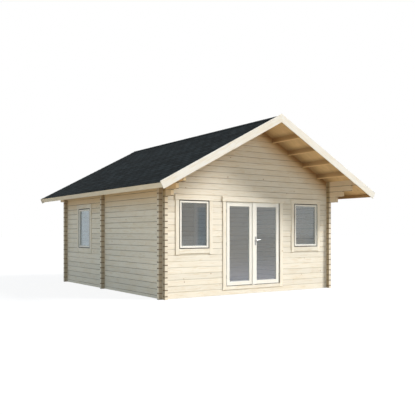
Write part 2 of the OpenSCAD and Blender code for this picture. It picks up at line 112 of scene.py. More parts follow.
# Where logs change colour, in metres: across the house, by height, past a corner, off a joint, below the roof.
# By height: painted warm light under the eaves, and joints darkened by painted shade high on the gable;
# past a corner and below the roof: painted shade.
LEFT_TO_RIGHT = (-1.0, 1.0)
EAVE_BOUNCE_Z, GABLE_JOINT_SHADE_Z = (1.9, 2.5), (2.0, 2.5)
CORNER_NEAR, CORNER_FAR = (-0.004, 0.012), (0.16, 0.08)
GROOVE, TICK = (0.0062, 0.0026), (0.014, 0.008)
GABLE_SHADE_REACH, GABLE_EDGE_SHADE_REACH = 0.5, 0.2

# Upward share of the normal, from faces that look down to faces that look aside, which get painted shade
DOWN_TO_ASIDE = (-0.8, -0.4)

# How far the shade reaches from where two timbers meet, and out from the front wall under the canopy
NOOK_REACH, CANOPY_REACH = 0.14, 0.5

# Share of light that one face of a pane mirrors, seen straight on, and the heights from none to all
# of a paler, bluish, less clear film low on the panes, which is a painted reflection of the bright ground
PANE_MIRROR = 0.043
LOW_REFLECTION_Z = (1.05, 0.3)

# Name, colour, roughness and fine lines to a metre of each steel
STEELS = (
    ("hinge_zinc", (0.46, 0.44, 0.40), 0.42, (300.0, 300.0, 30.0)),
    ("handle_satin", (0.86, 0.87, 0.88), 0.25, (40.0, 400.0, 400.0)),
    ("plate_satin", (0.36, 0.36, 0.36), 0.38, (400.0, 400.0, 40.0)),
    ("screw_zinc", (0.70, 0.68, 0.62), 0.35, (300.0, 300.0, 300.0)),
)


def slope_point(side, s, n, y):
    """A point at s down one slope from the ridge, n out from the roof's underside."""
    return Vector((
        side * (s * math.cos(PITCH) + n * math.sin(PITCH)),
        y,
        RIDGE_Z - s * math.sin(PITCH) + n * math.cos(PITCH),
    ))


def slope_axes(side):
    """Down the slope, out from it, and along the ridge."""
    return [
        Vector((side * math.cos(PITCH), 0, -math.sin(PITCH))),
        Vector((side * math.sin(PITCH), 0, math.cos(PITCH))),
        Vector((0, 1, 0)),
    ]


def grain_axes(along):
    """Unit vectors of a timber whose grain runs along X, Y or Z."""
    return [Vector([i == k for i in range(3)]) for k in GRAIN_ORDER[along]]


def length(name, description, default):
    """A size in metres."""
    return FloatProperty(name=name, description=description, default=default, unit="LENGTH")


def number(name, description, default):
    """A count of like pieces."""
    return IntProperty(name=name, description=description, default=default)


def amount(name, description, default):
    """A plain number."""
    return FloatProperty(name=name, description=description, default=default)


def tint(name, description, default):
    """A colour."""
    return FloatVectorProperty(name=name, description=description, default=default, subtype="COLOR")


class HouseSizes(bpy.types.PropertyGroup):
    """Sizes that the dressing adds to the solids."""
    tab_width: length("Shingle tab", "Width of one shingle tab", 0.333)
    tab_slot: length("Tab slot", "Slot between two tabs", 0.006)
    tab_rows: number("Shingle rows", "Rows of tabs on each slope", 24)
    drip: length("Drip felt", "Felt folded down over the eave boards", 0.012)
    ridge_tabs: number("Ridge shingles", "Folded shingles along the ridge", 48)
    roof_boards: number("Roof boards", "Boards on each slope", 80)
    floor_boards: number("Floor boards", "Boards across each room", 42)
    board_edge: length("Board edge", "Chamfer on the edges of boards", 0.003)
    inner_casing: length("Inner casing", "Width of the boards round the partition's doorway", 0.115)
    eave_trim: length("Eave trim", "Planed off the lower edges of the eave boards", 0.010)
    arris: length("Purlin arris", "Chamfer on the lower edges of the purlins", 0.02)
    bead_width: length("Glazing bead", "Width of the beads round a pane", 0.012)


class HouseFinishes(bpy.types.PropertyGroup):
    """Colours of the finishes."""
    pine_pale: tint("Pine", "Pale wood between the growth rings", (0.865, 0.815, 0.715))
    pine_deep: tint("Pine grain", "Late wood of the growth rings", (0.74, 0.63, 0.46))
    knot: tint("Knot", "Heart of a knot", (0.30, 0.165, 0.07))
    # Painted shade: a darker, warmer copy of the wall pine, standing for the shade and warm bounce light under the
    # canopy.
    roof_pine_in_shade: tint("Roof pine", "Wood of the roof boards and purlins", (0.68, 0.47, 0.24))
    edge_pale: tint("Edge pine", "Wood of the bargeboards", (0.82, 0.79, 0.735))
    eave_pale: tint("Eave pine", "Wood of the eave boards", (0.82, 0.73, 0.59))
    # Painted shade on the faces of the eave boards that look in toward the house.
    eave_inner_shade: tint("Eave inside", "Inner faces of the eave boards", (0.40, 0.24, 0.10))
    leaf_pale: tint("Sash pine", "Choice wood of the sashes and door leaves", (0.92, 0.90, 0.85))
    end_grain: tint("End grain", "Cut ends of the logs", (0.66, 0.53, 0.35))
    joint_shade: tint("Joint", "Bottom of the groove between two logs", (0.16, 0.105, 0.06))
    # Painted shade: it darkens the parts of crossing logs that reach past the wall they cross.
    corner_shade: tint("Corner", "Weathered wood in the corners of crossing logs", (0.285, 0.195, 0.085))
    # Painted warm bounce light on the side walls under the eaves.
    eave_bounce_pale: tint("Sheltered pine", "Wood of the side wall that the eave keeps dry", (0.92, 0.70, 0.41))
    # Painted shade over the gable below the roof, and more of it close to the roof.
    gable_painted_shade: tint("Gable stain", "Filter over the gable below the roof", (0.76, 0.57, 0.36))
    gable_edge_painted_shade: tint("Gable edge", "Filter over the gable close to the roof", (0.55, 0.42, 0.30))
    # Painted shade deep in the corners under the canopy.
    nook_shade: tint("Nook", "Wood deep in the corners under the canopy", (0.17, 0.085, 0.03))
    shingle: tint("Shingle", "Mineral grit of the shingles", (0.018, 0.0235, 0.026))
    # Painted reflection of the bright ground: paler, bluish and less clear low on the panes.
    dust_and_low_reflection: tint("Dust", "Film low on the door panes", (0.44, 0.45, 0.56))
    pane: tint("Pane", "Haze on the panes", (0.16, 0.165, 0.17))
    # Painted reflection: the bluish tint stands for the sky in what the panes mirror.
    pane_mirror: tint("Pane mirror", "Filter over what the panes mirror", (0.82, 0.94, 1.0))


class HouseStage(bpy.types.PropertyGroup):
    """Camera and light."""
    lens: amount("Lens", "Focal length on a 36 mm sensor, in millimetres", 51.22)
    turn: FloatProperty(
        name="Camera turn", description="Turn of the camera from straight at the front", subtype="ANGLE",
        default=math.radians(-34.06))
    rise: amount("Camera shift", "Upward shift of the view", 0.0596)
    stand: FloatVectorProperty(
        name="Camera place", description="Where the camera stands", subtype="TRANSLATION",
        default=(-8.832, -13.7025, 1.454))
    sun: amount("Sun", "Strength of the main light", 3.45)
    fill: amount("Fill", "Strength of the soft light from the left", 0.28)
    room: amount("Front room light", "Power of the warm light in the front room, in watts", 5.0)
    rear: amount("Rear room light", "Power of the cool light in the rear room, in watts", 1.6)
    sky: amount("Sky", "Strength of the soft light all round", 0.46)


class Value:
    """A socket that can stand in an expression."""

    def __init__(self, graph, socket):
        self.graph = graph
        self.socket = socket

    def __add__(self, other):
        return self.graph.math("ADD", self, other)

    __radd__ = __add__

    def __sub__(self, other):
        return self.graph.math("SUBTRACT", self, other)

    def __rsub__(self, other):
        return self.graph.math("SUBTRACT", other, self)

    def __mul__(self, other):
        return self.graph.math("MULTIPLY", self, other)

    def __truediv__(self, other):
        return self.graph.math("DIVIDE", self, other)

    def __mod__(self, other):
        return self.graph.math("FLOORED_MODULO", self, other)

    def __pow__(self, other):
        return self.graph.math("POWER", self, other)

    def __abs__(self):
        return self.graph.math("ABSOLUTE", self)

    def out(self, name):
        """Another output of the same node."""
        return Value(self.graph, self.socket.node.outputs[name])


class Graph:
    """Builds a shader or geometry tree."""

    def __init__(self, tree):
        self.tree = tree
        tree.nodes.clear()

    def node(self, kind, settings=None, sockets=None, out=0):
        """Adds a node: settings first, then the values or links of its sockets."""
        node = self.tree.nodes.new(kind)
        for name, setting in (settings or {}).items():
            setattr(node, name, setting)
        for name, given in (sockets or {}).items():
            if isinstance(given, Value):
                self.tree.links.new(given.socket, node.inputs[name])
            else:
                node.inputs[name].default_value = given
        return Value(self, node.outputs[out]) if node.outputs else node

    def math(self, operation, *given):
        return self.node("ShaderNodeMath", {"operation": operation}, dict(enumerate(given)))

    def vector(self, operation, *given):
        return self.node("ShaderNodeVectorMath", {"operation": operation}, dict(enumerate(given)))

    def scaled(self, vector, factor):
        return self.node("ShaderNodeVectorMath", {"operation": "SCALE"}, {"Vector": vector, "Scale": factor})

    def split(self, vector):
        node = self.node("ShaderNodeSeparateXYZ", sockets={"Vector": vector})
        return node, node.out("Y"), node.out("Z")

    def join(self, x, y, z):
        return self.node("ShaderNodeCombineXYZ", sockets={"X": x, "Y": y, "Z": z})

    def place(self):
        """Where a point lies in the house; its output Normal is the way its face looks."""
        return self.node("ShaderNodeTexCoord", out="Object")

    def carried(self, name, out):
        """What a mesh carries in an attribute."""
        return self.node("ShaderNodeAttribute", {"attribute_name": name}, out=out)

    def mix(self, factor, a, b, blend="MIX"):
        """Colours a and b mixed by a factor."""
        settings = {"data_type": "RGBA", "blend_type": blend}
        return self.node("ShaderNodeMix", settings, {0: factor, 6: colour(a), 7: colour(b)}, out=2)

    def noise(self, vector, scale, detail=2.0, roughness=0.5):
        return self.node("ShaderNodeTexNoise", sockets={
            "Vector": vector, "Scale": scale, "Detail": detail, "Roughness": roughness})

    def band(self, given, low, high):
        """0 at low, 1 at high, smooth between."""
        return self.node("ShaderNodeMapRange", {"interpolation_type": "SMOOTHSTEP"}, {
            "Value": given, "From Min": low, "From Max": high})

    def bump(self, height, strength, distance):
        return self.node("ShaderNodeBump", sockets={
            "Height": height, "Strength": strength, "Distance": distance})


def colour(given):
    """A colour with its alpha, or a Value as it is."""
    return given if isinstance(given, Value) else (*given[:3], 1.0)


def shaded(given, factor):
    """A colour made darker or lighter."""
    return tuple(channel * factor for channel in given)


def new_material(name):
    material = bpy.data.materials.new(name)
    material.use_nodes = True
    return material, Graph(material.node_tree)


def surface(graph, **sockets):
    """Ends a material in one Principled shader."""
    names = {key: key.replace("_", " ").title().replace("Ior", "IOR") for key in sockets}
    shader = graph.node("ShaderNodeBsdfPrincipled", sockets={
        names[key]: given for key, given in sockets.items()})
    graph.node("ShaderNodeOutputMaterial", sockets={"Surface": shader})


def wood(graph, grain, tone, pale, deep, knot):
    """Colour and height of pine at a place in a timber, x along it, with a number for each timber."""
    place = graph.vector("ADD", grain, graph.join(*(tone * step for step in TIMBER_SHIFT)))
    bend = graph.noise(graph.vector("MULTIPLY", place, (1.1, 2.0, 2.0)), scale=1.6, detail=1.0)
    x, y, z = graph.split(place)
    knots = graph.node("ShaderNodeTexVoronoi", sockets={"Vector": place, "Scale": KNOTS_PER_M})
    near = graph.band(knots, 0.16, 0.0)
    rings = graph.join(
        x * RINGS_ALONG, y * RINGS_ACROSS + bend * 1.5 + near * 0.5, z * RINGS_ACROSS + bend * 1.2)
    streak = graph.noise(rings, scale=4.2, detail=3.0, roughness=0.55)
    fibre = graph.noise(
        graph.join(x * FIBRES_ALONG, y * FIBRES_ACROSS, z * FIBRES_ACROSS), scale=1.0)
    cloud = graph.noise(place, scale=1.7)
    late = graph.band(streak, 0.45, 0.72)
    body = graph.mix(late * 0.55 + fibre * 0.16, pale, deep)
    body = graph.mix(graph.band(cloud, 0.42, 0.8) * 0.3, body, deep)
    level = 0.955 + tone * 0.07
    grey = graph.node("ShaderNodeCombineColor", sockets={0: level, 1: level, 2: level})
    body = graph.mix(1.0, body, grey, "MULTIPLY")
    heart = graph.band(knots, 0.062, 0.03)
    halo = graph.band(knots, 0.11, 0.05)
    body = graph.mix(halo * 0.35, body, deep)
    body = graph.mix(heart * 0.8, body, knot)
    height = streak * 0.5 + fibre * 0.5 - heart * 0.4
    return body, height


def wood_surface(graph, body, height, roughness, relief):
    """Ends a material in planed wood, its grain raised by a relief in metres."""
    surface(
        graph, base_color=body, roughness=roughness + height * 0.2, specular_ior_level=0.35,
        normal=graph.bump(height, strength=0.25, distance=relief))


def end_rings(graph, across, up, tone, finishes):
    """Colour of a log's cut end, with growth rings round its heart."""
    tightness = 5.0
    middle = graph.join(across * tightness, up * tightness, 0.0)
    arcs = graph.node("ShaderNodeTexWave", {"wave_type": "RINGS", "rings_direction": "Z"}, {
        "Vector": graph.vector("ADD", middle, graph.join(tone * 0.7, tone * 0.4, 0.0)),
        "Scale": 14.0, "Distortion": 1.2, "Detail": 1.0})
    return graph.mix(arcs * 0.5, finishes.end_grain, finishes.pine_deep)


def log_material(name, along, finishes, phase):
    """Planed pine logs on the solids: each course its own timber, with a dark line in each joint. Painted shade
    past the corners and below the roof, and painted warm light under the eaves.
    """
    material, graph = new_material(name)
    spot = graph.place()
    x, y, z = graph.split(spot)
    crosswise = along == "X"
    lie, across = (x, y) if crosswise else (y, x)
    courses = z / COURSE - phase
    course = graph.math("FLOOR", courses)
    tone = graph.node("ShaderNodeTexWhiteNoise", {"noise_dimensions": "2D"}, {
        "Vector": graph.join(course, graph.math("ROUND", across * 1.6), 0.0)})
    body, height = wood(
        graph, graph.join(lie, across, z), tone, finishes.pine_pale, finishes.pine_deep, finishes.knot)
    facing = graph.split(spot.out("Normal"))[0 if crosswise else 1]
    end = graph.band(abs(facing), 0.75, 0.9)
    cut = end_rings(graph, across, (courses - course - 0.2) * COURSE, tone, finishes)
    body = graph.mix(end * (0.2 if crosswise else 0.3), body, cut)
    right = graph.band(x, *LEFT_TO_RIGHT)
    if crosswise:
        # Painted shade on the gable below the roof boards, darkest where it meets them.
        below = depth_below(x, z)
        body = graph.mix(graph.band(below, GABLE_SHADE_REACH, 0.0), body, finishes.gable_painted_shade, "MULTIPLY")
        body = graph.mix(graph.band(below, GABLE_EDGE_SHADE_REACH, 0.0), body, finishes.gable_edge_painted_shade, "MULTIPLY")
        half, centre = HALF_W, 0.0
        # Joints of the gable darker higher up: painted shade under the canopy over the real dark joints.
        groove_and_gable_shade = graph.band(z, *GABLE_JOINT_SHADE_Z) * 0.35 + 0.55
    else:
        # Painted warm bounce light under the eaves of the side walls, paler on the left; browner on the right,
        # which is painted shade.
        eave_bounce_tint = graph.mix(right, finishes.eave_bounce_pale, finishes.roof_pine_in_shade)
        body = graph.mix(graph.band(z, *EAVE_BOUNCE_Z) * (0.9 - right * 0.32), body, eave_bounce_tint)
        half, centre = (BACK_Y - FRONT_Y) / 2, (BACK_Y + FRONT_Y) / 2
        groove_and_gable_shade = 1.0
    # Painted shade on the log parts that reach past a crossing wall, stronger toward the right of the house.
    past = abs(lie - centre) - half
    corner = graph.band(past, *CORNER_NEAR) * graph.band(past, *CORNER_FAR) * (1.0 - end)
    body = graph.mix(corner * (0.62 + right * 0.18), body, finishes.corner_shade)
    seam = graph.math("ROUND", courses)
    joint = abs(courses - seam) * COURSE
    tight = graph.noise(graph.join(lie * 0.8, seam * 3.7, across), scale=1.0)
    groove = graph.band(joint, *GROOVE) * groove_and_gable_shade * graph.band(tight, 0.15, 0.6)
    tick = graph.band(joint, *TICK) * (end + corner * 0.75)
    body = graph.mix(graph.math("MAXIMUM", groove, tick), body, finishes.joint_shade)
    wood_surface(graph, body, height, roughness=0.52, relief=0.002)
    return material


def depth_below(x, z):
    """How far a place lies below the underside of the roof boards, square to them."""
    return (RIDGE_Z - z) * math.cos(PITCH) - abs(x) * math.sin(PITCH)


def purlin_lines():
    """Middle and half width in X of each purlin of a slope."""
    whole = welded("right_purlins")
    lines = []
    for verts in islands(whole):
        xs = [vert.co.x for vert in verts]
        lines.append(((min(xs) + max(xs)) / 2, (max(xs) - min(xs)) / 2))
    whole.free()
    return lines


def nooks(graph, body, shade, lines=()):
    """Paints shade on timber under the canopy toward the front wall, and toward the boards or purlins it meets."""
    spot = graph.place()
    x, y, z = graph.split(spot)
    inward = graph.band(y, FRONT_Y - CANOPY_REACH, FRONT_Y)
    if not lines:
        # Purlins: more painted shade on faces that look aside.
        aside = graph.band(graph.split(spot.out("Normal"))[2], *DOWN_TO_ASIDE)
        body = graph.mix(inward * (aside * 0.4 + 0.25), body, shade)
        return graph.mix(graph.band(depth_below(x, z), NOOK_REACH, 0.0) * 0.3, body, shade)
    body = graph.mix(inward * 0.65, body, shade)
    near = 1.0
    for middle, half in lines:
        near = graph.math("MINIMUM", abs(abs(x) - middle) - half, near)
    return graph.mix(graph.band(near, NOOK_REACH, 0.0) * 0.45, body, shade)


def board_material(name, pale, deep, knot, roughness, painted_side_shade=0.0, inner=None, nook=None):
    """Sawn and planed pine for boards, which carry their own grain direction and number."""
    material, graph = new_material(name)
    grain, tone = graph.carried("grain", "Vector"), graph.carried("tone", "Fac")
    body, height = wood(graph, grain, tone, pale, deep, knot)
    # Painted shade on the faces that look aside; faces that look down keep the lighter wood.
    if painted_side_shade:
        upward = graph.split(graph.place().out("Normal"))[2]
        body = graph.mix(graph.band(upward, *DOWN_TO_ASIDE) * painted_side_shade, body, knot)
    # Painted shade on the faces that look in toward the middle of the house.
    if inner is not None:
        spot = graph.place()
        outward = graph.math("SIGN", graph.split(spot)[0]) * graph.split(spot.out("Normal"))[0]
        body = graph.mix(graph.band(outward, -0.3, -0.7) * 0.9, body, inner)
    if nook is not None:
        body = nooks(graph, body, *nook)
    wood_surface(graph, body, height, roughness, relief=0.0015)
    return material


def shingle_material(finishes):
    """Mineral grit on bitumen, a little different from tab to tab, with painted shadow of the row above on each
    tab's upper part, and darker toward its sides.
    """
    material, graph = new_material("bitumen_grit")
    spot = graph.place()
    tone = graph.carried("tone", "Fac")
    grit = graph.node("ShaderNodeTexVoronoi", sockets={"Vector": spot, "Scale": 420.0})
    speck = graph.node("ShaderNodeTexWhiteNoise", sockets={"Vector": grit.out("Position")})
    cloud = graph.noise(spot, scale=2.3, detail=4.0, roughness=0.6)
    down, _, aside = graph.split(graph.carried("grain", "Vector"))
    # Painted shadow of the row above on the upper part of each tab, and darker toward the tab's sides.
    upper = graph.band(down, -0.045, -0.07)
    sides = graph.band(abs(aside), 0.10, 0.15)
    shade = speck * 0.3 + tone * 0.55 + cloud * 0.3 - 0.16
    wear_and_row_shadow = (1.0 - upper * 0.75) * (1.0 - sides * 0.6)
    body = graph.mix(shade * wear_and_row_shadow, shaded(finishes.shingle, 0.35), shaded(finishes.shingle, 1.9))
    surface(
        graph, base_color=body, roughness=0.85 + speck * 0.12, specular_ior_level=0.06,
        normal=graph.bump(grit, strength=0.5, distance=0.0012))
    return material


def pane_material(finishes):
    """Clear double pane: each side of the solid mirrors as the two faces of one sheet, with a thin haze."""
    material, graph = new_material("double_pane")
    spot = graph.place()
    haze = graph.noise(spot, scale=1.4)
    wipe = graph.noise(graph.vector("MULTIPLY", spot, (9.0, 9.0, 2.0)), scale=2.0, detail=3.0)
    slant = graph.node("ShaderNodeLayerWeight", sockets={"Blend": 0.5}, out="Facing")
    face = PANE_MIRROR + slant ** 5.0 * (1.0 - PANE_MIRROR)
    mirrored = 1.0 - (1.0 - face) ** 2.0
    # Painted reflection of the bright ground: the panes paler, bluish and less clear toward the bottom.
    dust_and_low_reflection = graph.band(graph.split(spot)[2], *LOW_REFLECTION_Z)
    film = graph.mix(haze, finishes.pane, shaded(finishes.pane, 1.15))
    clear = graph.node("ShaderNodeBsdfPrincipled", sockets={
        "Base Color": graph.mix(dust_and_low_reflection, film, finishes.dust_and_low_reflection), "Roughness": 0.3, "Specular IOR Level": 0.0,
        "Alpha": 0.05 + haze * 0.06 + dust_and_low_reflection * 0.09})
    # The mirror's bluish tint is a painted reflection of the sky.
    gloss = graph.node("ShaderNodeBsdfPrincipled", sockets={
        "Base Color": colour(finishes.pane_mirror), "Metallic": 1.0, "Roughness": 0.015 + wipe * 0.02})
    both = graph.node("ShaderNodeMixShader", sockets={0: mirrored, 1: clear, 2: gloss})
    graph.node("ShaderNodeOutputMaterial", sockets={"Surface": both})
    return material


def steel_material(name, shade, roughness, lines_per_m):
    """Brushed steel with fine lines."""
    material, graph = new_material(name)
    spot = graph.place()
    lines = graph.noise(graph.vector("MULTIPLY", spot, lines_per_m), scale=1.0)
    wear_and_row_shadow = graph.noise(spot, scale=60.0)
    surface(
        graph, base_color=graph.mix(wear_and_row_shadow, shaded(shade, 0.86), shade), metallic=1.0,
        roughness=roughness + lines * 0.12 + wear_and_row_shadow * 0.05,
        normal=graph.bump(lines, strength=0.15, distance=0.0002))
    return material


def rubber_material():
    """Black glazing rubber."""
    material, graph = new_material("glazing_rubber")
    dust_and_low_reflection = graph.noise(graph.place(), scale=45.0, detail=3.0)
    surface(
        graph, base_color=graph.mix(dust_and_low_reflection, (0.014, 0.011, 0.008), (0.034, 0.027, 0.020)),
        roughness=0.55 + dust_and_low_reflection * 0.2, specular_ior_level=0.2)
    return material


def welded(node):
    """The solids of a CAD node as a bmesh with shared corners."""
    shape = bmesh.new()
    shape.from_mesh(frame["nodes"][node].data)
    bmesh.ops.remove_doubles(shape, verts=shape.verts[:], dist=MERGE)
    return shape


def islands(shape):
    """Lists of connected verts."""
    left = set(shape.verts)
    found = []
    for start in shape.verts:
        if start not in left:
            continue
        group, edge = [], [start]
        left.discard(start)
        while edge:
            vert = edge.pop()
            group.append(vert)
            for link in vert.link_edges:
                other = link.other_vert(vert)
                if other in left:
                    left.discard(other)
                    edge.append(other)
        found.append(group)
    return found


def ease(shape, edges, offset, segments=2):
    """Eases edges of a bmesh."""
    bmesh.ops.bevel(shape, geom=edges, offset=offset, segments=segments, profile=0.5, affect="EDGES")


def lofted(sections):
    """A closed shape through outlines with the same number of points."""
    shape = bmesh.new()
    rings = [[shape.verts.new(point) for point in outline] for outline in sections]
    count = len(rings[0])
    for first, second in zip(rings, rings[1:]):
        for i in range(count):
            shape.faces.new([first[i], first[(i + 1) % count], second[(i + 1) % count], second[i]])
    shape.faces.new(rings[0][::-1])
    shape.faces.new(rings[-1])
    bmesh.ops.recalc_face_normals(shape, faces=shape.faces[:])
    return shape


class Timbers:
    """Collects timbers into one mesh that carries each one's grain direction and number."""

    def __init__(self, seed):
        self.random = random.Random(seed)
        self.points, self.faces, self.grain, self.tone = [], [], [], []

    def collect(self, shape, axes, place=Matrix()):
        """Takes a bmesh whose grain runs along the first of three axes, and frees it."""
        tone = self.random.random()
        middle = sum((vert.co for vert in shape.verts), Vector()) / len(shape.verts)
        start = len(self.points)
        shape.verts.index_update()
        for vert in shape.verts:
            self.points.append(place @ vert.co)
            self.grain.append(Vector([axis.dot(vert.co - middle) for axis in axes]))
            self.tone.append(tone)
        for face in shape.faces:
            self.faces.append([start + vert.index for vert in face.verts])
        shape.free()

    def box(self, low, high, along, edge=0.002, place=Matrix()):
        """A timber with eased edges between two corners, its grain along X, Y or Z."""
        low, high = Vector(low), Vector(high)
        shape = bmesh.new()
        bmesh.ops.create_cube(shape, size=1.0)
        size = high - low
        for vert in shape.verts:
            vert.co = (low + high) / 2 + Vector([vert.co[i] * size[i] for i in range(3)])
        if edge:
            ease(shape, shape.edges[:], edge)
        self.collect(shape, grain_axes(along), place)

    def ring(self, low, high, width, y0, y1, edge=0.002, place=Matrix()):
        """Two upright timbers and two between them, round an opening in X and Z."""
        (x0, z0), (x1, z1) = low, high
        self.box((x0, y0, z0), (x0 + width, y1, z1), "Z", edge, place)
        self.box((x1 - width, y0, z0), (x1, y1, z1), "Z", edge, place)
        self.box((x0 + width, y0, z0), (x1 - width, y1, z0 + width), "X", edge, place)
        self.box((x0 + width, y0, z1 - width), (x1 - width, y1, z1), "X", edge, place)

    def turn(self, place, out, profile, turns):
        """A round shape: profile of radius and height along out from a place."""
        out = Vector(out).normalized()
        aside = out.orthogonal().normalized()
        over = out.cross(aside)
        angles = [2 * math.pi * k / turns for k in range(turns)]
        spokes = [aside * math.cos(angle) + over * math.sin(angle) for angle in angles]
        sections = [
            [Vector(place) + out * height + spoke * radius for spoke in spokes] for radius, height in profile]
        self.collect(lofted(sections), [aside, over, out])

    def copy(self, node, edge, arris=0.0, trim=0.0):
        """Copies the timbers of a CAD node with eased edges, each with its grain along its longest side."""
        flat, at_bottom, long_side, square_on = math.radians(0.5), 0.001, 1.0, 0.9
        whole = welded(node)
        bmesh.ops.dissolve_limit(whole, angle_limit=flat, verts=whole.verts[:], edges=whole.edges[:])
        bottom = min(vert.co.z for vert in whole.verts)
        for vert in whole.verts:
            if vert.co.z < bottom + at_bottom:
                vert.co.z += trim
        if arris:
            whole.normal_update()
            lower = [
                side for side in whole.edges if side.calc_length() > long_side and len(side.link_faces) == 2
                and min(face.normal.z for face in side.link_faces) < -square_on
                and max(abs(face.normal.x) for face in side.link_faces) > square_on]
            ease(whole, lower, arris, segments=1)
        ease(whole, whole.edges[:], edge)
        for verts in islands(whole):
            self.island(verts)
        whole.free()

    def island(self, verts):
        """Takes one of several timbers in a bmesh."""
        spans = []
        for axes in (*(grain_axes(along) for along in "XYZ"), slope_axes(1), slope_axes(-1)):
            reach = [axes[0].dot(vert.co) for vert in verts]
            spans.append((max(reach) - min(reach), axes))
        axes = max(spans, key=lambda span: span[0])[1]
        part = bmesh.new()
        twin = {vert: part.verts.new(vert.co) for vert in verts}
        for face in dict.fromkeys(face for vert in verts for face in vert.link_faces):
            part.faces.new([twin[vert] for vert in face.verts])
        self.collect(part, axes)

    def mesh(self, name):
        mesh = bpy.data.meshes.new(name)
        mesh.from_pydata(self.points, [], self.faces)
        grain = mesh.attributes.new("grain", "FLOAT_VECTOR", "POINT")
        grain.data.foreach_set("vector", [share for place in self.grain for share in place])
        tone = mesh.attributes.new("tone", "FLOAT", "POINT")
        tone.data.foreach_set("value", self.tone)
        return mesh


def loft(name, sections, axes):
    """A closed timber through outlines, with its own grain."""
    timbers = Timbers(1)
    timbers.collect(lofted(sections), axes)
    return timbers.mesh(name)


def turned(name, place, out, profile, turns=20):
    """A round head on a face: profile of radius and height along out from a place, with tone and grain."""
    timbers = Timbers(1)
    timbers.turn(place, out, profile, turns)
    return timbers.mesh(name)


def finish(name):
    return bpy.data.materials[name]


def dress(node, material):
    """Gives a CAD node that stays as it is its finish."""
    mesh = frame["nodes"][node].data
    mesh.materials.clear()
    mesh.materials.append(finish(material))


def add_piece(name, mesh, material, body="house", nodes=()):
    """Links a finished mesh, gives it a finish and lets it ride on a body in place of CAD nodes."""
    piece = bpy.data.objects.new(name, mesh)
    bpy.context.scene.collection.objects.link(piece)
    if material is not None:
        mesh.materials.clear()
        mesh.materials.append(finish(material))
    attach(piece, body)
    if nodes:
        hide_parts(*nodes)


def add_copy(node, ending, seed, material, slot, edge, **cuts):
    """Adds the timbers of a CAD node with eased edges in its place."""
    timbers = Timbers(seed)
    timbers.copy(node, edge, **cuts)
    add_piece(node + ending, timbers.mesh(node), material, nodes=[node])


def plain_mesh(carrier, modifier):
    """The mesh that a modifier makes of an object, which is then removed."""
    graph = bpy.context.evaluated_depsgraph_get()
    done = bpy.data.meshes.new_from_object(
        carrier.evaluated_get(graph), preserve_all_data_layers=True, depsgraph=graph)
    carrier.modifiers.remove(modifier)
    bpy.data.objects.remove(carrier)
    return done


def rows_tree():
    """Geometry nodes that lay copies of a shape in rows, cut off at two ends along Y."""
    tree = bpy.data.node_groups.new("laid in rows", "GeometryNodeTree")
    for name, kind in (
        ("Geometry", "Geometry"), ("Columns", "Int"), ("Rows", "Int"), ("Column Step", "Vector"),
        ("Row Step", "Vector"), ("Row Shift", "Vector"), ("Low Y", "Float"), ("High Y", "Float"),
        ("Seed", "Int"), ("Material", "Material"),
    ):
        tree.interface.new_socket(name=name, in_out="INPUT", socket_type="NodeSocket" + kind)
    tree.interface.new_socket(name="Geometry", in_out="OUTPUT", socket_type="NodeSocketGeometry")
    graph = Graph(tree)
    given = graph.node("NodeGroupInput")
    index = graph.node("GeometryNodeInputIndex")
    columns = given.out("Columns")
    row = graph.math("FLOOR", (index + 0.5) / columns)
    column = index - row * columns
    place = graph.vector(
        "ADD", graph.scaled(given.out("Column Step"), column), graph.scaled(given.out("Row Step"), row))
    place = graph.vector("ADD", place, graph.scaled(given.out("Row Shift"), row % 2.0))
    points = graph.node("GeometryNodePoints", sockets={
        "Count": columns * given.out("Rows"), "Position": place})
    tone = graph.node("FunctionNodeRandomValue", {"data_type": "FLOAT"}, {"Seed": given.out("Seed")}, out=1)
    points = graph.node("GeometryNodeStoreNamedAttribute", {"data_type": "FLOAT", "domain": "POINT"}, {
        "Geometry": points, "Name": "tone", "Value": tone})
    copies = graph.node("GeometryNodeInstanceOnPoints", sockets={
        "Points": points, "Instance": given.out("Geometry")})
    shapes = graph.node("GeometryNodeRealizeInstances", sockets={"Geometry": copies})
    x, y, z = graph.split(graph.node("GeometryNodeInputPosition"))
    kept = graph.math("MINIMUM", graph.math("MAXIMUM", y, given.out("Low Y")), given.out("High Y"))
    shapes = graph.node("GeometryNodeSetPosition", sockets={
        "Geometry": shapes, "Position": graph.join(x, kept, z)})
    shapes = graph.node("GeometryNodeSetMaterial", sockets={
        "Geometry": shapes, "Material": given.out("Material")})
    graph.node("NodeGroupOutput", sockets={"Geometry": shapes})
    return tree


def laid_in_rows(name, mesh, material, columns, column_step, rows=1, row_step=(0, 0, 0), row_shift=(0, 0, 0),
                 low_y=-FAR_Y, high_y=FAR_Y, seed=1):
    """A plain mesh of copies laid by the geometry nodes."""
    tree = bpy.data.node_groups.get("laid in rows") or rows_tree()
    mesh.attributes.remove(mesh.attributes["tone"])
    carrier = bpy.data.objects.new(name, mesh)
    bpy.context.scene.collection.objects.link(carrier)
    nodes = carrier.modifiers.new("laid in rows", "NODES")
    nodes.node_group = tree
    inputs = {
        "Columns": columns, "Rows": rows, "Column Step": column_step, "Row Step": row_step,
        "Row Shift": row_shift, "Low Y": low_y, "High Y": high_y, "Seed": seed, "Material": finish(material),
    }
    for item in tree.interface.items_tree:
        if item.in_out == "INPUT" and item.name in inputs:
            nodes[item.identifier] = inputs[item.name]
    return plain_mesh(carrier, nodes)


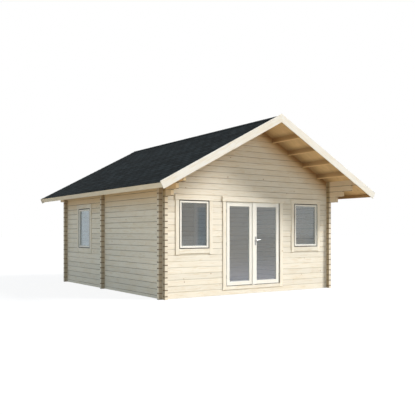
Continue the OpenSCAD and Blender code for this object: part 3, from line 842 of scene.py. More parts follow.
class HOUSE_OT_finishes(bpy.types.Operator):
    """Make the finishes that the pieces share"""
    bl_idname = "garden_house.finishes"
    bl_label = "Finishes"

    def execute(self, context):
        finishes = context.scene.house_finishes
        pale, deep, knot = finishes.pine_pale, finishes.pine_deep, finishes.knot
        roof, shade = finishes.roof_pine_in_shade, finishes.nook_shade
        log_material("log_pine_across", "X", finishes, phase=0.0)
        log_material("log_pine_deep", "Y", finishes, phase=0.5)
        board_material("casing_pine", shaded(pale, 1.03), deep, knot, roughness=0.5)
        board_material("leaf_pine", finishes.leaf_pale, pale, deep, roughness=0.45)
        board_material("edge_pine", finishes.edge_pale, deep, knot, roughness=0.55)
        board_material(
            "eave_pine", finishes.eave_pale, deep, knot, roughness=0.55, inner=finishes.eave_inner_shade)
        board_material(
            "roof_pine", shaded(roof, 1.1), shaded(roof, 0.8), knot, roughness=0.6,
            nook=(shade, purlin_lines()))
        # A lighter copy of the roof wood, painted light on the purlins' undersides, with painted shade on their
        # sides.
        board_material(
            "purlin_pine", shaded(roof, 1.3), shaded(roof, 1.1), knot, roughness=0.6, painted_side_shade=0.5,
            nook=(shade,))
        board_material("floor_planks", finishes.end_grain, roof, knot, roughness=0.5)
        shingle_material(finishes)
        pane_material(finishes)
        rubber_material()
        for steel in STEELS:
            steel_material(*steel)
        return {"FINISHED"}


class HOUSE_OT_log_walls(bpy.types.Operator):
    """Give the log walls their pine, along each wall"""
    bl_idname = "garden_house.log_walls"
    bl_label = "Log walls"

    def execute(self, context):
        for names, material in ((LOGS_ALONG_X, "log_pine_across"), (LOGS_ALONG_Y, "log_pine_deep")):
            for name in names:
                dress(name, material)
        return {"FINISHED"}


class HOUSE_OT_roof_boards(bpy.types.Operator):
    """Lay the roof boards side by side down each slope, and dress the purlins"""
    bl_idname = "garden_house.roof_boards"
    bl_label = "Roof boards and purlins"

    def execute(self, context):
        sizes = context.scene.house_sizes
        width = (ROOF_Y1 - ROOF_Y0) / sizes.roof_boards
        edge = sizes.board_edge
        outline = [
            (FIT + edge, BOARDS_N), (width - FIT - edge, BOARDS_N), (width - FIT, BOARDS_N + edge),
            (width - FIT, BOARDS_TOP_N), (FIT, BOARDS_TOP_N), (FIT, BOARDS_N + edge),
        ]
        for side, name in ((-1, "left_roof_boards"), (1, "right_roof_boards")):
            upper = [slope_point(side, -n * math.tan(PITCH), n, ROOF_Y0 + y) for y, n in outline]
            lower = [slope_point(side, BOARDS_S, n, ROOF_Y0 + y) for y, n in outline]
            board = loft(name, [upper, lower], slope_axes(side))
            laid = laid_in_rows(name, board, "roof_pine", sizes.roof_boards, (0, width, 0), seed=3 + side)
            add_piece(name + "_laid", laid, None, nodes=[name])
        for seed, name in enumerate(("ridge_purlin", "left_purlins", "right_purlins"), 40):
            add_copy(name, "_planed", seed, "purlin_pine", "soffit_pine", edge, arris=sizes.arris)
        return {"FINISHED"}


class HOUSE_OT_shingles(bpy.types.Operator):
    """Lay rows of shingle tabs on both slopes and folded shingles along the ridge"""
    bl_idname = "garden_house.shingles"
    bl_label = "Shingles"

    # How far a tab runs up under the next row, its thickness there and at its foot, and the foot's edges
    TAB_LAP, TAB_T, FOOT_T = 0.03, 0.0016, 0.0032
    FOOT_UNDER, FOOT_BACK, FOOT_DROP = 0.001, 0.0015, 0.0008

    # Sheet below the tabs, and felt over the eave board: how far out, how far up, and its edges
    UNDERLAY_T, UNDERLAY_BACK = 0.0024, 0.004
    FELT_OUT, FELT_UP, FELT_EDGE = 0.0035, 0.002, 0.001

    # Reach of a ridge shingle down each slope, its lap, thickness and lift over the next, and its soft fold
    RIDGE_W, RIDGE_LAP, RIDGE_T, RIDGE_LIFT = 0.15, 0.03, 0.0022, 0.0036
    FOLD_W, FOLD_DROP = 0.02, 0.003

    def execute(self, context):
        sizes = context.scene.house_sizes
        for side, name, eave in (
            (-1, "left_shingles", "left_eave_board"), (1, "right_shingles", "right_eave_board"),
        ):
            self.slope(sizes, side, name)
            self.drip(sizes, side, name, eave)
        self.ridge(sizes)
        return {"FINISHED"}

    def slope(self, sizes, side, name):
        """Tabs of one slope on the sheet below them."""
        width, exposure = sizes.tab_width, SHINGLES_S / sizes.tab_rows
        columns = math.ceil((COVER_Y1 - COVER_Y0) / width) + 1
        y0 = COVER_Y0 - width / 2
        axes = slope_axes(side)
        profile = [
            (-self.TAB_LAP, SHINGLES_N + HAIR), (exposure - self.FOOT_UNDER, COVERING_N - self.FOOT_T),
            (exposure, COVERING_N - self.FOOT_T + self.FOOT_UNDER), (exposure, COVERING_N - self.FOOT_DROP),
            (exposure - self.FOOT_BACK, COVERING_N), (-self.TAB_LAP, SHINGLES_N + self.TAB_T),
        ]
        ends = (sizes.tab_slot / 2, width - sizes.tab_slot / 2)
        tab = loft(name, [[slope_point(side, s, n, y0 + y) for s, n in profile] for y in ends], axes)
        laid = laid_in_rows(
            name, tab, "bitumen_grit", columns, (0, width, 0), sizes.tab_rows, axes[0] * exposure,
            (0, width / 2, 0), COVER_Y0, COVER_Y1, seed=11 + side)
        add_piece(name + "_tabs", laid, None, nodes=[name])
        low, high, foot = SHINGLES_N, SHINGLES_N + self.UNDERLAY_T, SHINGLES_S - self.UNDERLAY_BACK
        under = [(0.0, low), (foot, low), (foot, high), (0.0, high)]
        sections = [[slope_point(side, s, n, y) for s, n in under] for y in (COVER_Y0, COVER_Y1)]
        sheet = loft(name + "_under", sections, axes)
        add_piece(name + "_underlay", sheet, "bitumen_grit")

    def drip(self, sizes, side, name, eave):
        """Felt folded down over the top of the eave board."""
        low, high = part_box(eave)
        face = max(abs(low.x), abs(high.x))
        felt = Timbers(90 + side)
        x0, x1 = sorted((side * (face + FIT), side * (face + self.FELT_OUT)))
        felt.box(
            (x0, low.y, high.z - sizes.drip), (x1, high.y, high.z + self.FELT_UP), "Y", self.FELT_EDGE)
        add_piece(name + "_drip", felt.mesh("drip"), "bitumen_grit")

    def fold(self, y, lift):
        """Outline of a ridge shingle: over the top from the left to the right, and back below."""
        def over(n):
            top = slope_point(1, -n * math.tan(PITCH), n, y) - Vector((0, 0, self.FOLD_DROP))
            reach = (self.RIDGE_W, self.FOLD_W)
            left, right = ([slope_point(side, s, n, y) for s in reach] for side in (-1, 1))
            return [*left, top, *right[::-1]]

        low = RIDGE_N + lift
        upper, lower = over(low + self.RIDGE_T), over(low)
        return [lower[0], *upper, *lower[:0:-1]]

    def ridge(self, sizes):
        exposure = (COVER_Y1 - COVER_Y0) / sizes.ridge_tabs
        sections = [
            self.fold(COVER_Y0, self.RIDGE_LIFT), self.fold(COVER_Y0 + exposure + self.RIDGE_LAP, 0.0)]
        tab = loft("ridge_tab", sections, PLANK_AXES)
        laid = laid_in_rows(
            "ridge_shingles", tab, "bitumen_grit", sizes.ridge_tabs, (0, exposure, 0),
            low_y=COVER_Y0, high_y=COVER_Y1, seed=23)
        add_piece("ridge_shingles_folded", laid, None, nodes=["ridge_shingles"])


class HOUSE_OT_edge_boards(bpy.types.Operator):
    """Dress the bargeboards and eave boards"""
    bl_idname = "garden_house.edge_boards"
    bl_label = "Edge boards"

    def execute(self, context):
        sizes = context.scene.house_sizes
        barges = [f"{end}_{side}_bargeboard" for end in ("front", "back") for side in ("left", "right")]
        for seed, name in enumerate(barges, 60):
            add_copy(name, "_planed", seed, "edge_pine", "edge_board", sizes.board_edge)
        for seed, name in enumerate(("left_eave_board", "right_eave_board"), 64):
            add_copy(name, "_planed", seed, "eave_pine", "edge_board", sizes.board_edge, trim=sizes.eave_trim)
        return {"FINISHED"}


class HOUSE_OT_casings(bpy.types.Operator):
    """Dress the casing boards round the doorways and the windows"""
    bl_idname = "garden_house.casings"
    bl_label = "Casings"

    def execute(self, context):
        sizes = context.scene.house_sizes
        names = ["door_casing"] + [f"{window}_window_casing" for window in WINDOWS]
        for seed, name in enumerate(names, 80):
            add_copy(name, "_planed", seed, "casing_pine", "joinery_pine", sizes.board_edge)
        self.partition(sizes)
        return {"FINISHED"}

    def partition(self, sizes):
        """Boards on both sides round the doorway in the partition."""
        openings = {opening["name"]: opening["box_m"] for opening in frame["record"]["physics"]["openings"]}
        (x0, _, z0), (x1, _, z1) = openings["partition_doorway"]
        clear, width, edge = 0.005, sizes.inner_casing, sizes.board_edge
        x0, x1, z1 = x0 - clear, x1 + clear, z1 + clear
        low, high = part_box("partition_logs")
        timbers = Timbers(95)
        for y0, y1 in ((low.y - CASING_T, low.y - AIR), (high.y + AIR, high.y + CASING_T)):
            timbers.box((x0 - width, y0, z0), (x0, y1, z1), "Z", edge)
            timbers.box((x1, y0, z0), (x1 + width, y1, z1), "Z", edge)
            timbers.box((x0 - width, y0, z1), (x1 + width, y1, z1 + width), "X", edge)
        add_piece("partition_casing", timbers.mesh("partition"), "leaf_pine")


def add_glazing(name, body, low, high, depth, bead, place):
    """Beads on the inner face of a pane and a rubber line on both faces, and the pane's finish."""
    bead_t, bead_edge, bead_lap = 0.009, 0.0025, 0.001
    line_w, outer_t, inner_t = 0.003, 0.002, 0.0035
    beads, rubber = Timbers(7), Timbers(8)
    (x0, z0), (x1, z1) = low, high
    front, back = (depth - PANE_T) / 2, (depth + PANE_T) / 2
    beads.ring(low, high, bead, back + FIT, back + bead_t, bead_edge, place)
    for y0, y1, inset in (
        (front - outer_t, front - AIR, 0.0), (back + AIR, back + inner_t, bead - bead_lap),
    ):
        rubber.ring((x0 + inset, z0 + inset), (x1 - inset, z1 - inset), line_w, y0, y1, 0.0, place)
    add_piece(f"{name}_beads", beads.mesh("beads"), "leaf_pine", body)
    add_piece(f"{name}_rubber", rubber.mesh("rubber"), "glazing_rubber", body)
    dress(f"{name}_pane", "double_pane")


class HOUSE_OT_windows(bpy.types.Operator):
    """Build the frames and sashes of the windows from their members"""
    bl_idname = "garden_house.windows"
    bl_label = "Windows"

    # The seal is part real rubber and part painted shade: black rubber fills the gap and laps onto the sash,
    # darkening the slot round it.
    # How far a sash stands proud of its frame, and the seal: its lap on the sash and its thickness
    PROUD, SEAL_LAP, SEAL_T = 0.014, 0.010, 0.003

    # How far the frame's stop reaches behind the sash
    STOP_LAP = 0.012

    def execute(self, context):
        bead = context.scene.house_sizes.bead_width
        for seed, name in enumerate(WINDOWS, 100):
            low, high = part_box(f"{name}_window_frame")
            middle = (low + high) / 2
            if name == "side":
                quarter = Matrix.Rotation(-math.pi / 2, 4, "Z")
                place = Matrix.Translation((low.x, middle.y, middle.z)) @ quarter
                width = high.y - low.y
            else:
                place = Matrix.Translation((middle.x, low.y, middle.z))
                width = high.x - low.x
            self.window(f"{name}_window", seed, place, width / 2, (high.z - low.z) / 2, bead)
        return {"FINISHED"}

    def window(self, name, seed, place, half_w, half_h, bead):
        """Frame, sash, seal and glazing of one window round its middle."""
        def ring(timbers, inset, width, y0, y1, edge):
            w, h = half_w - inset, half_h - inset
            timbers.ring((-w, -h), (w, h), width, y0, y1, edge, place)

        frame_members, sash, seal = Timbers(seed), Timbers(seed + 10), Timbers(seed + 20)
        front = -self.PROUD
        ring(frame_members, 0.0, FRAME_W, 0.0, FRAME_DEPTH, FRAME_EDGE)
        ring(frame_members, FRAME_W, SASH_GAP + self.STOP_LAP, SASH_T, FRAME_DEPTH, FRAME_EDGE)
        ring(sash, FRAME_W + SASH_GAP, SASH_W, front, SASH_T, LEAF_EDGE)
        # Black rubber in the gap and lapping onto the sash: a seal, and painted shade along the slot round the
        # sash.
        ring(seal, FRAME_W, SASH_GAP - FIT, front, SASH_T - FIT, 0.0)
        ring(seal, FRAME_W, SASH_GAP + self.SEAL_LAP, front - self.SEAL_T, front - AIR, 0.0)
        add_piece(
            f"{name}_frame_members", frame_members.mesh("frame"), "casing_pine",
            nodes=[f"{name}_frame"])
        add_piece(
            f"{name}_sash_members", sash.mesh("sash"), "leaf_pine",
            nodes=[f"{name}_sash"])
        add_piece(f"{name}_seal", seal.mesh("seal"), "glazing_rubber")
        border = FRAME_W + SASH_GAP + SASH_W
        light_w, light_h = half_w - border, half_h - border
        add_glazing(name, "house", (-light_w, -light_h), (light_w, light_h), SASH_T, bead, place)


class HOUSE_OT_doorway(bpy.types.Operator):
    """Build the door frame and both door leaves from their members"""
    bl_idname = "garden_house.doorway"
    bl_label = "Doorway and leaves"

    # The dark strips are part weather strips and part painted shade, widening the dark lines round the leaves.
    # Weather strips: width, and how far they stand before the frame and before the leaves
    STRIP_W, FRAME_STRIP, LEAF_STRIP = 0.008, 0.0025, 0.0018

    # Distances of the strips from the edges beside them, and heights of the strip along a leaf's foot
    STRIP_OFF, STRIP_SHORT, STRIP_TOP = 0.002, 0.004, 0.001
    FOOT_STRIP_Z = (0.002, 0.012)

    # Room between a leaf and the stop behind it
    STOP_GAP = 0.006

    def execute(self, context):
        self.frame_members()
        for seed, name in ((140, "left"), (150, "right")):
            self.leaf(name, seed, context.scene.house_sizes.bead_width)
        return {"FINISHED"}

    def frame_members(self):
        """Jambs, head and sill, the stops behind the leaves, and a strip along each jamb."""
        low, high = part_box("door_frame")
        x0, x1, z0, z1 = low.x + FRAME_W, high.x - FRAME_W, low.z + SILL_H, high.z - FRAME_W
        stop_y = low.y + LEAF_T + self.STOP_GAP
        timbers = Timbers(130)
        for start, end in ((low.x, x0), (x1, high.x)):
            timbers.box((start, low.y, low.z), (end, high.y, high.z), "Z")
        timbers.box((x0, low.y, z1), (x1, high.y, high.z), "X")
        timbers.box((x0, low.y, low.z), (x1, high.y, z0), "X")
        for start, end in ((x0, x0 + STOP), (x1 - STOP, x1)):
            timbers.box((start, stop_y, z0), (end, high.y, z1), "Z")
        timbers.box((x0 + STOP, stop_y, z1 - STOP), (x1 - STOP, high.y, z1), "X")
        add_piece(
            "door_frame_members", timbers.mesh("door_frame"), "casing_pine",
            nodes=["door_frame"])
        front, back = low.y - self.FRAME_STRIP, low.y - FIT
        bottom, top = z0 + self.STRIP_OFF, z1 - self.STRIP_TOP
        # Dark strips beside the jambs: weather strips and painted shade in the gaps at the leaves' sides.
        seal = Timbers(135)
        for start in (x0 - self.STRIP_W - self.STRIP_OFF, x1 + self.STRIP_OFF):
            seal.box((start, front, bottom), (start + self.STRIP_W, back, top), "Z", 0.0)
        add_piece("door_frame_seal", seal.mesh("door_seal"), "glazing_rubber")

    def leaf(self, name, seed, bead):
        """Stiles and rails of a leaf with its pane, the right one with the cover strip and a bore."""
        low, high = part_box(f"{name}_leaf")
        y0, y1 = FRONT_Y, FRONT_Y + LEAF_T
        x0, x1 = low.x + LEAF_STILES[name][0], high.x - LEAF_STILES[name][1]
        z0, z1 = low.z + LEAF_RAIL, high.z - LEAF_RAIL
        body = f"{name}_door"
        timbers = Timbers(seed)
        for start, end in ((low.x, x0), (x1, high.x)):
            timbers.box((start, y0, low.z), (end, y1, high.z), "Z", LEAF_EDGE)
        for start, end in ((low.z, z0), (z1, high.z)):
            timbers.box((x0, y0, start), (x1, y1, end), "X", LEAF_EDGE)
        if name == "right":
            timbers.box((low.x, low.y, low.z), (low.x + COVER_STRIP, y0 - HAIR, high.z), "Z", COVER_EDGE)
        mesh = timbers.mesh(f"{name}_leaf")
        if name == "right":
            mesh = bored(mesh)
        add_piece(f"{name}_leaf_members", mesh, "leaf_pine", body, nodes=[f"{name}_leaf"])
        self.leaf_strip(name, seed + 5, low, high)
        add_glazing(
            f"{name}_leaf", body, (x0, z0), (x1, z1), LEAF_T, bead, Matrix.Translation((0, y0, 0)))

    def leaf_strip(self, name, seed, low, high):
        """Weather strip up the hinge side of a leaf and along its foot."""
        front, back = FRONT_Y - self.LEAF_STRIP, FRONT_Y - AIR
        if name == "left":
            up = low.x + self.STRIP_W
            start, end = up + self.STRIP_W, high.x - self.STRIP_SHORT
        else:
            up = high.x - 2 * self.STRIP_W
            start, end = low.x + COVER_STRIP + self.STRIP_OFF, up
        bottom, top = low.z + self.STRIP_SHORT, high.z - self.STRIP_SHORT
        foot = [low.z + rise for rise in self.FOOT_STRIP_Z]
        # Dark strips up the hinge side and along the foot: weather strips and painted shade in the gaps.
        strip = Timbers(seed)
        strip.box((up, front, bottom), (up + self.STRIP_W, back, top), "Z", 0.0)
        strip.box((start, front, foot[0]), (end, back, foot[1]), "X", 0.0)
        add_piece(f"{name}_leaf_strip", strip.mesh("strip"), "glazing_rubber", f"{name}_door")


def spindle_line():
    """Middle of the lever's spindle in X and Z, from the handle plates and the lever."""
    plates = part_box("handle_plates")
    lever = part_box("door_lever")
    return (plates[0].x + plates[1].x) / 2, (lever[0].z + lever[1].z) / 2


def bored(mesh):
    """The mesh with a hole for the lever's spindle."""
    radius, reach = 0.010, 0.2
    x, z = spindle_line()
    drill = bmesh.new()
    bmesh.ops.create_cone(
        drill, cap_ends=True, segments=32, radius1=radius, radius2=radius, depth=reach,
        matrix=Matrix.Translation((x, FRONT_Y, z)) @ Matrix.Rotation(math.pi / 2, 4, "X"))
    hole = bpy.data.meshes.new("spindle_hole")
    drill.to_mesh(hole)
    drill.free()
    cutter = bpy.data.objects.new("spindle_hole", hole)
    carrier = bpy.data.objects.new("bored", mesh)
    for piece in (cutter, carrier):
        bpy.context.scene.collection.objects.link(piece)
    cut = carrier.modifiers.new("bore", "BOOLEAN")
    cut.operation, cut.solver, cut.object = "DIFFERENCE", "EXACT", cutter
    done = plain_mesh(carrier, cut)
    bpy.data.objects.remove(cutter)
    return done


class HOUSE_OT_fittings(bpy.types.Operator):
    """Dress the hinges, the handle plates and the lever, with keyholes in the plates"""
    bl_idname = "garden_house.fittings"
    bl_label = "Hinges and handle"

    # Heights of a hinge from its middle: each half, the pin, half the slit between them, and eased edges
    HINGE_H, PIN_H, SLIT, EASED = 0.040, 0.038, 0.0003, 0.0008
    BARREL_R, EASED_R, BORE_R, PIN_R, TIP_R = 0.0070, 0.0062, 0.0043, 0.0038, 0.0032
    TURNS = 32

    # Radius and height along the two turned halves
    LOWER = (
        (EASED_R, -HINGE_H), (BARREL_R, EASED - HINGE_H), (BARREL_R, -SLIT - EASED), (EASED_R, -SLIT),
        (PIN_R, -SLIT), (PIN_R, PIN_H - EASED), (TIP_R, PIN_H))
    UPPER = (
        (BORE_R, PIN_H + FIT), (BORE_R, SLIT), (EASED_R, SLIT), (BARREL_R, SLIT + EASED),
        (BARREL_R, HINGE_H - EASED), (EASED_R, HINGE_H))

    # Shanks of a hinge, away from the pin: toward the jamb, toward the leaf, and up or down
    JAMB_SHANK, LEAF_SHANK, SHANK_Z = (0.00325, 0.00925), (-0.0085, -0.0025), (0.004, 0.036)
    PIN_CLEAR, SHANK_EDGE = 0.0048, 0.0006

    # Keyhole below the spindle: radius and height along its ring, how far its dark parts stand out,
    # and half width, lower end, upper end and eased edge of its slot and of its round part
    KEY_DROP = 0.072
    KEY_RING = ((0.0095, -0.0005), (0.0095, 0.0006), (0.0085, 0.0012))
    KEY_OUT = (0.0006, 0.0014)
    KEY_PARTS = ((0.0016, -0.0062, 0.001, 0.0), (0.0032, 0.0002, 0.0062, 0.0012))

    def execute(self, context):
        self.hinges()
        dress("handle_plates", "plate_satin")
        dress("door_lever", "handle_satin")
        low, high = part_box("handle_plates")
        for side, y, out in (("front", low.y, -1), ("back", high.y, 1)):
            self.keyhole(side, y, out)
        return {"FINISHED"}

    def hinges(self):
        """Barrel hinges: lower halves with pins on the frame, upper halves on the leaves."""
        low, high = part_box("hinge_pins")
        first, last = low.z + self.HINGE_H, high.z - self.PIN_H
        joints = {joint["name"]: joint["pos_m"] for joint in frame["joints"]}
        near, far = self.SHANK_Z
        pins = Timbers(180)
        for side, door in ((-1, "left"), (1, "right")):
            x, y = joints[f"{door}_door_hinge"][:2]
            jamb = sorted(x + side * step for step in self.JAMB_SHANK)
            leaf = sorted(x + side * step for step in self.LEAF_SHANK)
            back = FRONT_Y - HAIR
            barrels = Timbers(182 + side)
            for z in (first, (first + last) / 2, last):
                pins.turn((x, y, z), (0, 0, 1), self.LOWER, self.TURNS)
                barrels.turn((x, y, z), (0, 0, 1), self.UPPER, self.TURNS)
                pins.box((jamb[0], y, z - far), (jamb[1], back, z - near), "Z", self.SHANK_EDGE)
                barrels.box(
                    (leaf[0], y + self.PIN_CLEAR, z + near), (leaf[1], back, z + far), "Z", self.SHANK_EDGE)
            add_piece(
                f"{door}_hinge_barrels_turned", barrels.mesh("barrels"), "hinge_zinc", f"{door}_door",
                nodes=[f"{door}_hinge_barrels"])
        add_piece(
            "hinge_pins_turned", pins.mesh("pins"), "hinge_zinc", nodes=["hinge_pins"])

    def keyhole(self, side, y, out):
        """A ring and a black piece in one of the plates: the piece paints the shade in the hollow of a keyhole."""
        x, z = spindle_line()
        z -= self.KEY_DROP
        ring = turned(f"{side}_keyhole", (x, y, z), (0, out, 0), self.KEY_RING)
        add_piece(f"{side}_keyhole_ring", ring, "handle_satin", "right_door")
        # Painted shade: black pieces standing out of the plate in place of the keyhole's hollow.
        hole = Timbers(160)
        y0, y1 = sorted(y + out * step for step in self.KEY_OUT)
        for half_w, low, high, edge in self.KEY_PARTS:
            hole.box((x - half_w, y0, z + low), (x + half_w, y1, z + high), "Z", edge)
        add_piece(f"{side}_keyhole", hole.mesh("hole"), "glazing_rubber", "right_door")


class HOUSE_OT_screws(bpy.types.Operator):
    """Set the screws of the casings, bargeboards and handle plates in rows"""
    bl_idname = "garden_house.screws"
    bl_label = "Screws"

    # Radius and height along a screw's head, and its sides
    TURNS = 12
    HEAD = ((0.0042, -0.0015), (0.0042, 0.0002), (0.0034, 0.0010), (0.0014, 0.0010), (0.0010, 0.0002))

    def execute(self, context):
        for name in ("door_casing", *(f"{window}_window_casing" for window in WINDOWS)):
            self.casing(name)
        for side, name in ((-1, "front_left_bargeboard"), (1, "front_right_bargeboard")):
            self.bargeboard(side, name)
        self.plates()
        return {"FINISHED"}

    def row(self, name, place, out, step, rows=1, row_step=(0, 0, 0), body="house", slot="hinge_steel",
            scale=1.0):
        """Pairs of screws in rows."""
        profile = [(radius * scale, height * scale) for radius, height in self.HEAD]
        head = turned(name, place, out, profile, self.TURNS)
        laid = laid_in_rows(name, head, "screw_zinc", 2, step, rows, row_step, seed=5)
        add_piece(name, laid, None, body)

    def casing(self, name):
        """Screws in pairs up both side boards of a casing."""
        past, below, above, rows = 0.065, 0.125, 0.245, 4
        low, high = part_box(name)
        rise = (high.z - low.z - below - above) / (rows - 1)
        if name.startswith("side"):
            place, out = (high.x - CASING_T, low.y + past, low.z + below), (-1, 0, 0)
            across = (0, high.y - low.y - 2 * past, 0)
        else:
            place, out = (low.x + past, high.y - CASING_T, low.z + below), (0, -1, 0)
            across = (high.x - low.x - 2 * past, 0, 0)
        self.row(f"{name}_screws", place, out, across, rows, (0, 0, rise))

    def bargeboard(self, side, name):
        """Screws in pairs down a front bargeboard."""
        first, below, apart, rows, pitch = 0.35, 0.09, 0.075, 6, 0.56
        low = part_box(name)[0]
        down, over, along = slope_axes(side)
        place = slope_point(side, first, -below, low.y)
        self.row(f"{name}_screws", place, -along, over * apart, rows, down * pitch)

    def plates(self):
        """One screw at each end of the front handle plate."""
        inset = 0.012
        low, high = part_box("handle_plates")
        place, apart = ((low.x + high.x) / 2, low.y, low.z + inset), high.z - low.z - 2 * inset
        self.row(
            "plate_screws", place, (0, -1, 0), (0, 0, apart), body="right_door", slot="handle_steel",
            scale=0.7)


class HOUSE_OT_floor(bpy.types.Operator):
    """Lay the floor boards of both rooms and dress the bearers"""
    bl_idname = "garden_house.floor"
    bl_label = "Floor"

    def execute(self, context):
        sizes = context.scene.house_sizes
        edge = sizes.board_edge
        for seed, name in enumerate(("front_floor", "rear_floor"), 31):
            low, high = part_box(name)
            width = (high.x - low.x) / sizes.floor_boards
            outline = [
                (FIT, low.z), (width - FIT, low.z), (width - FIT, high.z - edge),
                (width - FIT - edge, high.z), (FIT + edge, high.z), (FIT, high.z - edge),
            ]
            sections = [[Vector((low.x + x, y, z)) for x, z in outline] for y in (low.y, high.y)]
            board = loft(name, sections, PLANK_AXES)
            laid = laid_in_rows(name, board, "floor_planks", sizes.floor_boards, (width, 0, 0), seed=seed)
            add_piece(name + "_boards", laid, None, nodes=[name])
        add_copy("floor_bearers", "_sawn", 170, "floor_planks", "floor_pine", edge)
        return {"FINISHED"}


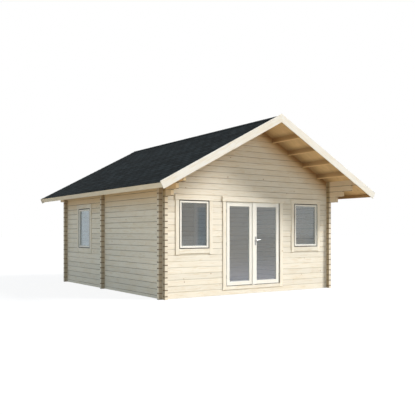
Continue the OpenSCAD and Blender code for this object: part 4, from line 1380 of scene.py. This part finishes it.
class HOUSE_OT_stage(bpy.types.Operator):
    """Set the floor, the light and the camera"""
    bl_idname = "garden_house.stage"
    bl_label = "Stage"

    FLOOR_REACH, FLOOR_Z = 150.0, -0.001
    ROOM_LIGHT_W, ROOM_LIGHT_H = 2.4, 1.2
    SENSOR_MM, VIEW_REACH = 36.0, 500.0

    def execute(self, context):
        scene = context.scene
        stage = scene.house_stage
        self.floor(scene)
        self.sky(scene, stage)
        for name, energy, spread, shade, way in (
            ("sun", stage.sun, 16, (1.0, 0.985, 0.955), (-1.13, 1.0, -1.17)),
            ("fill", stage.fill, 60, (0.74, 1.0, 1.05), (1.0, 0.15, -0.1)),
        ):
            light = self.lamp(scene, name, "SUN", energy, shade, way)
            light.angle = math.radians(spread)
        for name, energy, shade, place, way in (
            ("front_room", stage.room, (1.0, 0.80, 0.58), (1.4, FRONT_Y + 1.0, 0.4), (0.0, 1.0, 0.5)),
            ("rear_room", stage.rear, (0.12, 0.48, 1.0), (1.0, BACK_Y - 1.6, 1.2), (1.0, 0.9, 0.0)),
        ):
            light = self.lamp(scene, name, "AREA", energy, shade, way, place)
            light.shape, light.size, light.size_y = "RECTANGLE", self.ROOM_LIGHT_W, self.ROOM_LIGHT_H
        self.camera(scene, stage)
        scene.view_settings.view_transform = "Standard"
        return {"FINISHED"}

    def lamp(self, scene, name, kind, energy, shade, way, place=(0, 0, 0)):
        """A lamp that shines along a way."""
        light = bpy.data.lights.new(name, kind)
        light.energy, light.color = energy, shade
        lamp = bpy.data.objects.new(name, light)
        lamp.location = place
        lamp.rotation_euler = Vector(way).to_track_quat("-Z", "Y").to_euler()
        scene.collection.objects.link(lamp)
        return light

    def camera(self, scene, stage):
        view = bpy.data.cameras.new("camera")
        view.sensor_width, view.lens, view.shift_y = self.SENSOR_MM, stage.lens, stage.rise
        view.clip_end = self.VIEW_REACH
        camera = bpy.data.objects.new("camera", view)
        camera.location = stage.stand
        camera.rotation_euler = (math.pi / 2, 0.0, stage.turn)
        scene.collection.objects.link(camera)
        scene.camera = camera

    def seen(self, graph):
        """1 for rays that show the background."""
        path = graph.node("ShaderNodeLightPath", out="Is Camera Ray")
        shown = graph.math("MAXIMUM", path, path.out("Is Glossy Ray"))
        return graph.math("MAXIMUM", shown, path.out("Is Transmission Ray"))

    def floor(self, scene):
        """A wide floor, white to the eye and pale wood to the light that it throws back."""
        mesh = bpy.data.meshes.new("floor")
        reach = self.FLOOR_REACH
        corners = ((-reach, -reach), (reach, -reach), (reach, reach), (-reach, reach))
        mesh.from_pydata([(x, y, self.FLOOR_Z) for x, y in corners], [], [(0, 1, 2, 3)])
        material, graph = new_material("pale_floor")
        matt = graph.node("ShaderNodeBsdfDiffuse", sockets={"Color": (0.62, 0.55, 0.44, 1)})
        faint = graph.node("ShaderNodeBsdfDiffuse", sockets={"Color": (0.15, 0.15, 0.15, 1)})
        glow = graph.node("ShaderNodeEmission", sockets={"Color": (1, 1, 1, 1), "Strength": 0.88})
        white = graph.node("ShaderNodeAddShader", sockets={0: faint, 1: glow})
        both = graph.node("ShaderNodeMixShader", sockets={0: self.seen(graph), 1: matt, 2: white})
        graph.node("ShaderNodeOutputMaterial", sockets={"Surface": both})
        mesh.materials.append(material)
        floor = bpy.data.objects.new("floor", mesh)
        scene.collection.objects.link(floor)

    def sky(self, scene, stage):
        """Soft light all round, a white background, and brighter sides in what the panes mirror."""
        world = bpy.data.worlds.new("sky")
        world.use_nodes = True
        graph = Graph(world.node_tree)
        soft = graph.node("ShaderNodeBackground", sockets={
            "Color": (0.84, 0.97, 1.10, 1), "Strength": stage.sky})
        way = graph.split(graph.node("ShaderNodeTexCoord", out="Generated"))[0]
        mirrored = graph.node("ShaderNodeLightPath", out="Is Glossy Ray")
        sides = graph.band(way, 0.45, 0.75) * 0.7 + graph.band(way, 0.2, -0.2) * 0.35 - 0.28
        white = graph.node("ShaderNodeBackground", sockets={
            "Color": (1, 1, 1, 1), "Strength": 1.0 + mirrored * sides})
        both = graph.node("ShaderNodeMixShader", sockets={0: self.seen(graph), 1: soft, 2: white})
        graph.node("ShaderNodeOutputWorld", sockets={"Surface": both})
        scene.world = world


OPERATORS = (
    HOUSE_OT_finishes, HOUSE_OT_log_walls, HOUSE_OT_roof_boards, HOUSE_OT_shingles, HOUSE_OT_edge_boards,
    HOUSE_OT_casings, HOUSE_OT_windows, HOUSE_OT_doorway, HOUSE_OT_fittings, HOUSE_OT_screws, HOUSE_OT_floor,
    HOUSE_OT_stage,
)


class HOUSE_PT_sidebar(bpy.types.Panel):
    """Lists the sizes, finishes and steps of the garden house"""
    bl_idname = "HOUSE_PT_sidebar"
    bl_label = "Log garden house"
    bl_space_type = "VIEW_3D"
    bl_region_type = "UI"
    bl_category = "Garden House"

    def draw(self, context):
        scene = context.scene
        for settings in (scene.house_sizes, scene.house_finishes, scene.house_stage):
            box = self.layout.box()
            for name in settings.__annotations__:
                box.prop(settings, name)
        for operator in OPERATORS:
            self.layout.operator(operator.bl_idname)


SETTINGS = {"house_sizes": HouseSizes, "house_finishes": HouseFinishes, "house_stage": HouseStage}
CLASSES = (*SETTINGS.values(), *OPERATORS, HOUSE_PT_sidebar)


def register():
    for item in CLASSES:
        bpy.utils.register_class(item)
    for name, settings in SETTINGS.items():
        setattr(bpy.types.Scene, name, PointerProperty(type=settings))


def unregister():
    for name in SETTINGS:
        delattr(bpy.types.Scene, name)
    for item in reversed(CLASSES):
        bpy.utils.unregister_class(item)


def main():
    register()
    for step in (
        bpy.ops.garden_house.finishes, bpy.ops.garden_house.log_walls, bpy.ops.garden_house.roof_boards,
        bpy.ops.garden_house.shingles, bpy.ops.garden_house.edge_boards, bpy.ops.garden_house.casings,
        bpy.ops.garden_house.windows, bpy.ops.garden_house.doorway, bpy.ops.garden_house.fittings,
        bpy.ops.garden_house.screws, bpy.ops.garden_house.floor, bpy.ops.garden_house.stage,
    ):
        step()


if __name__ == "__main__":
    main()
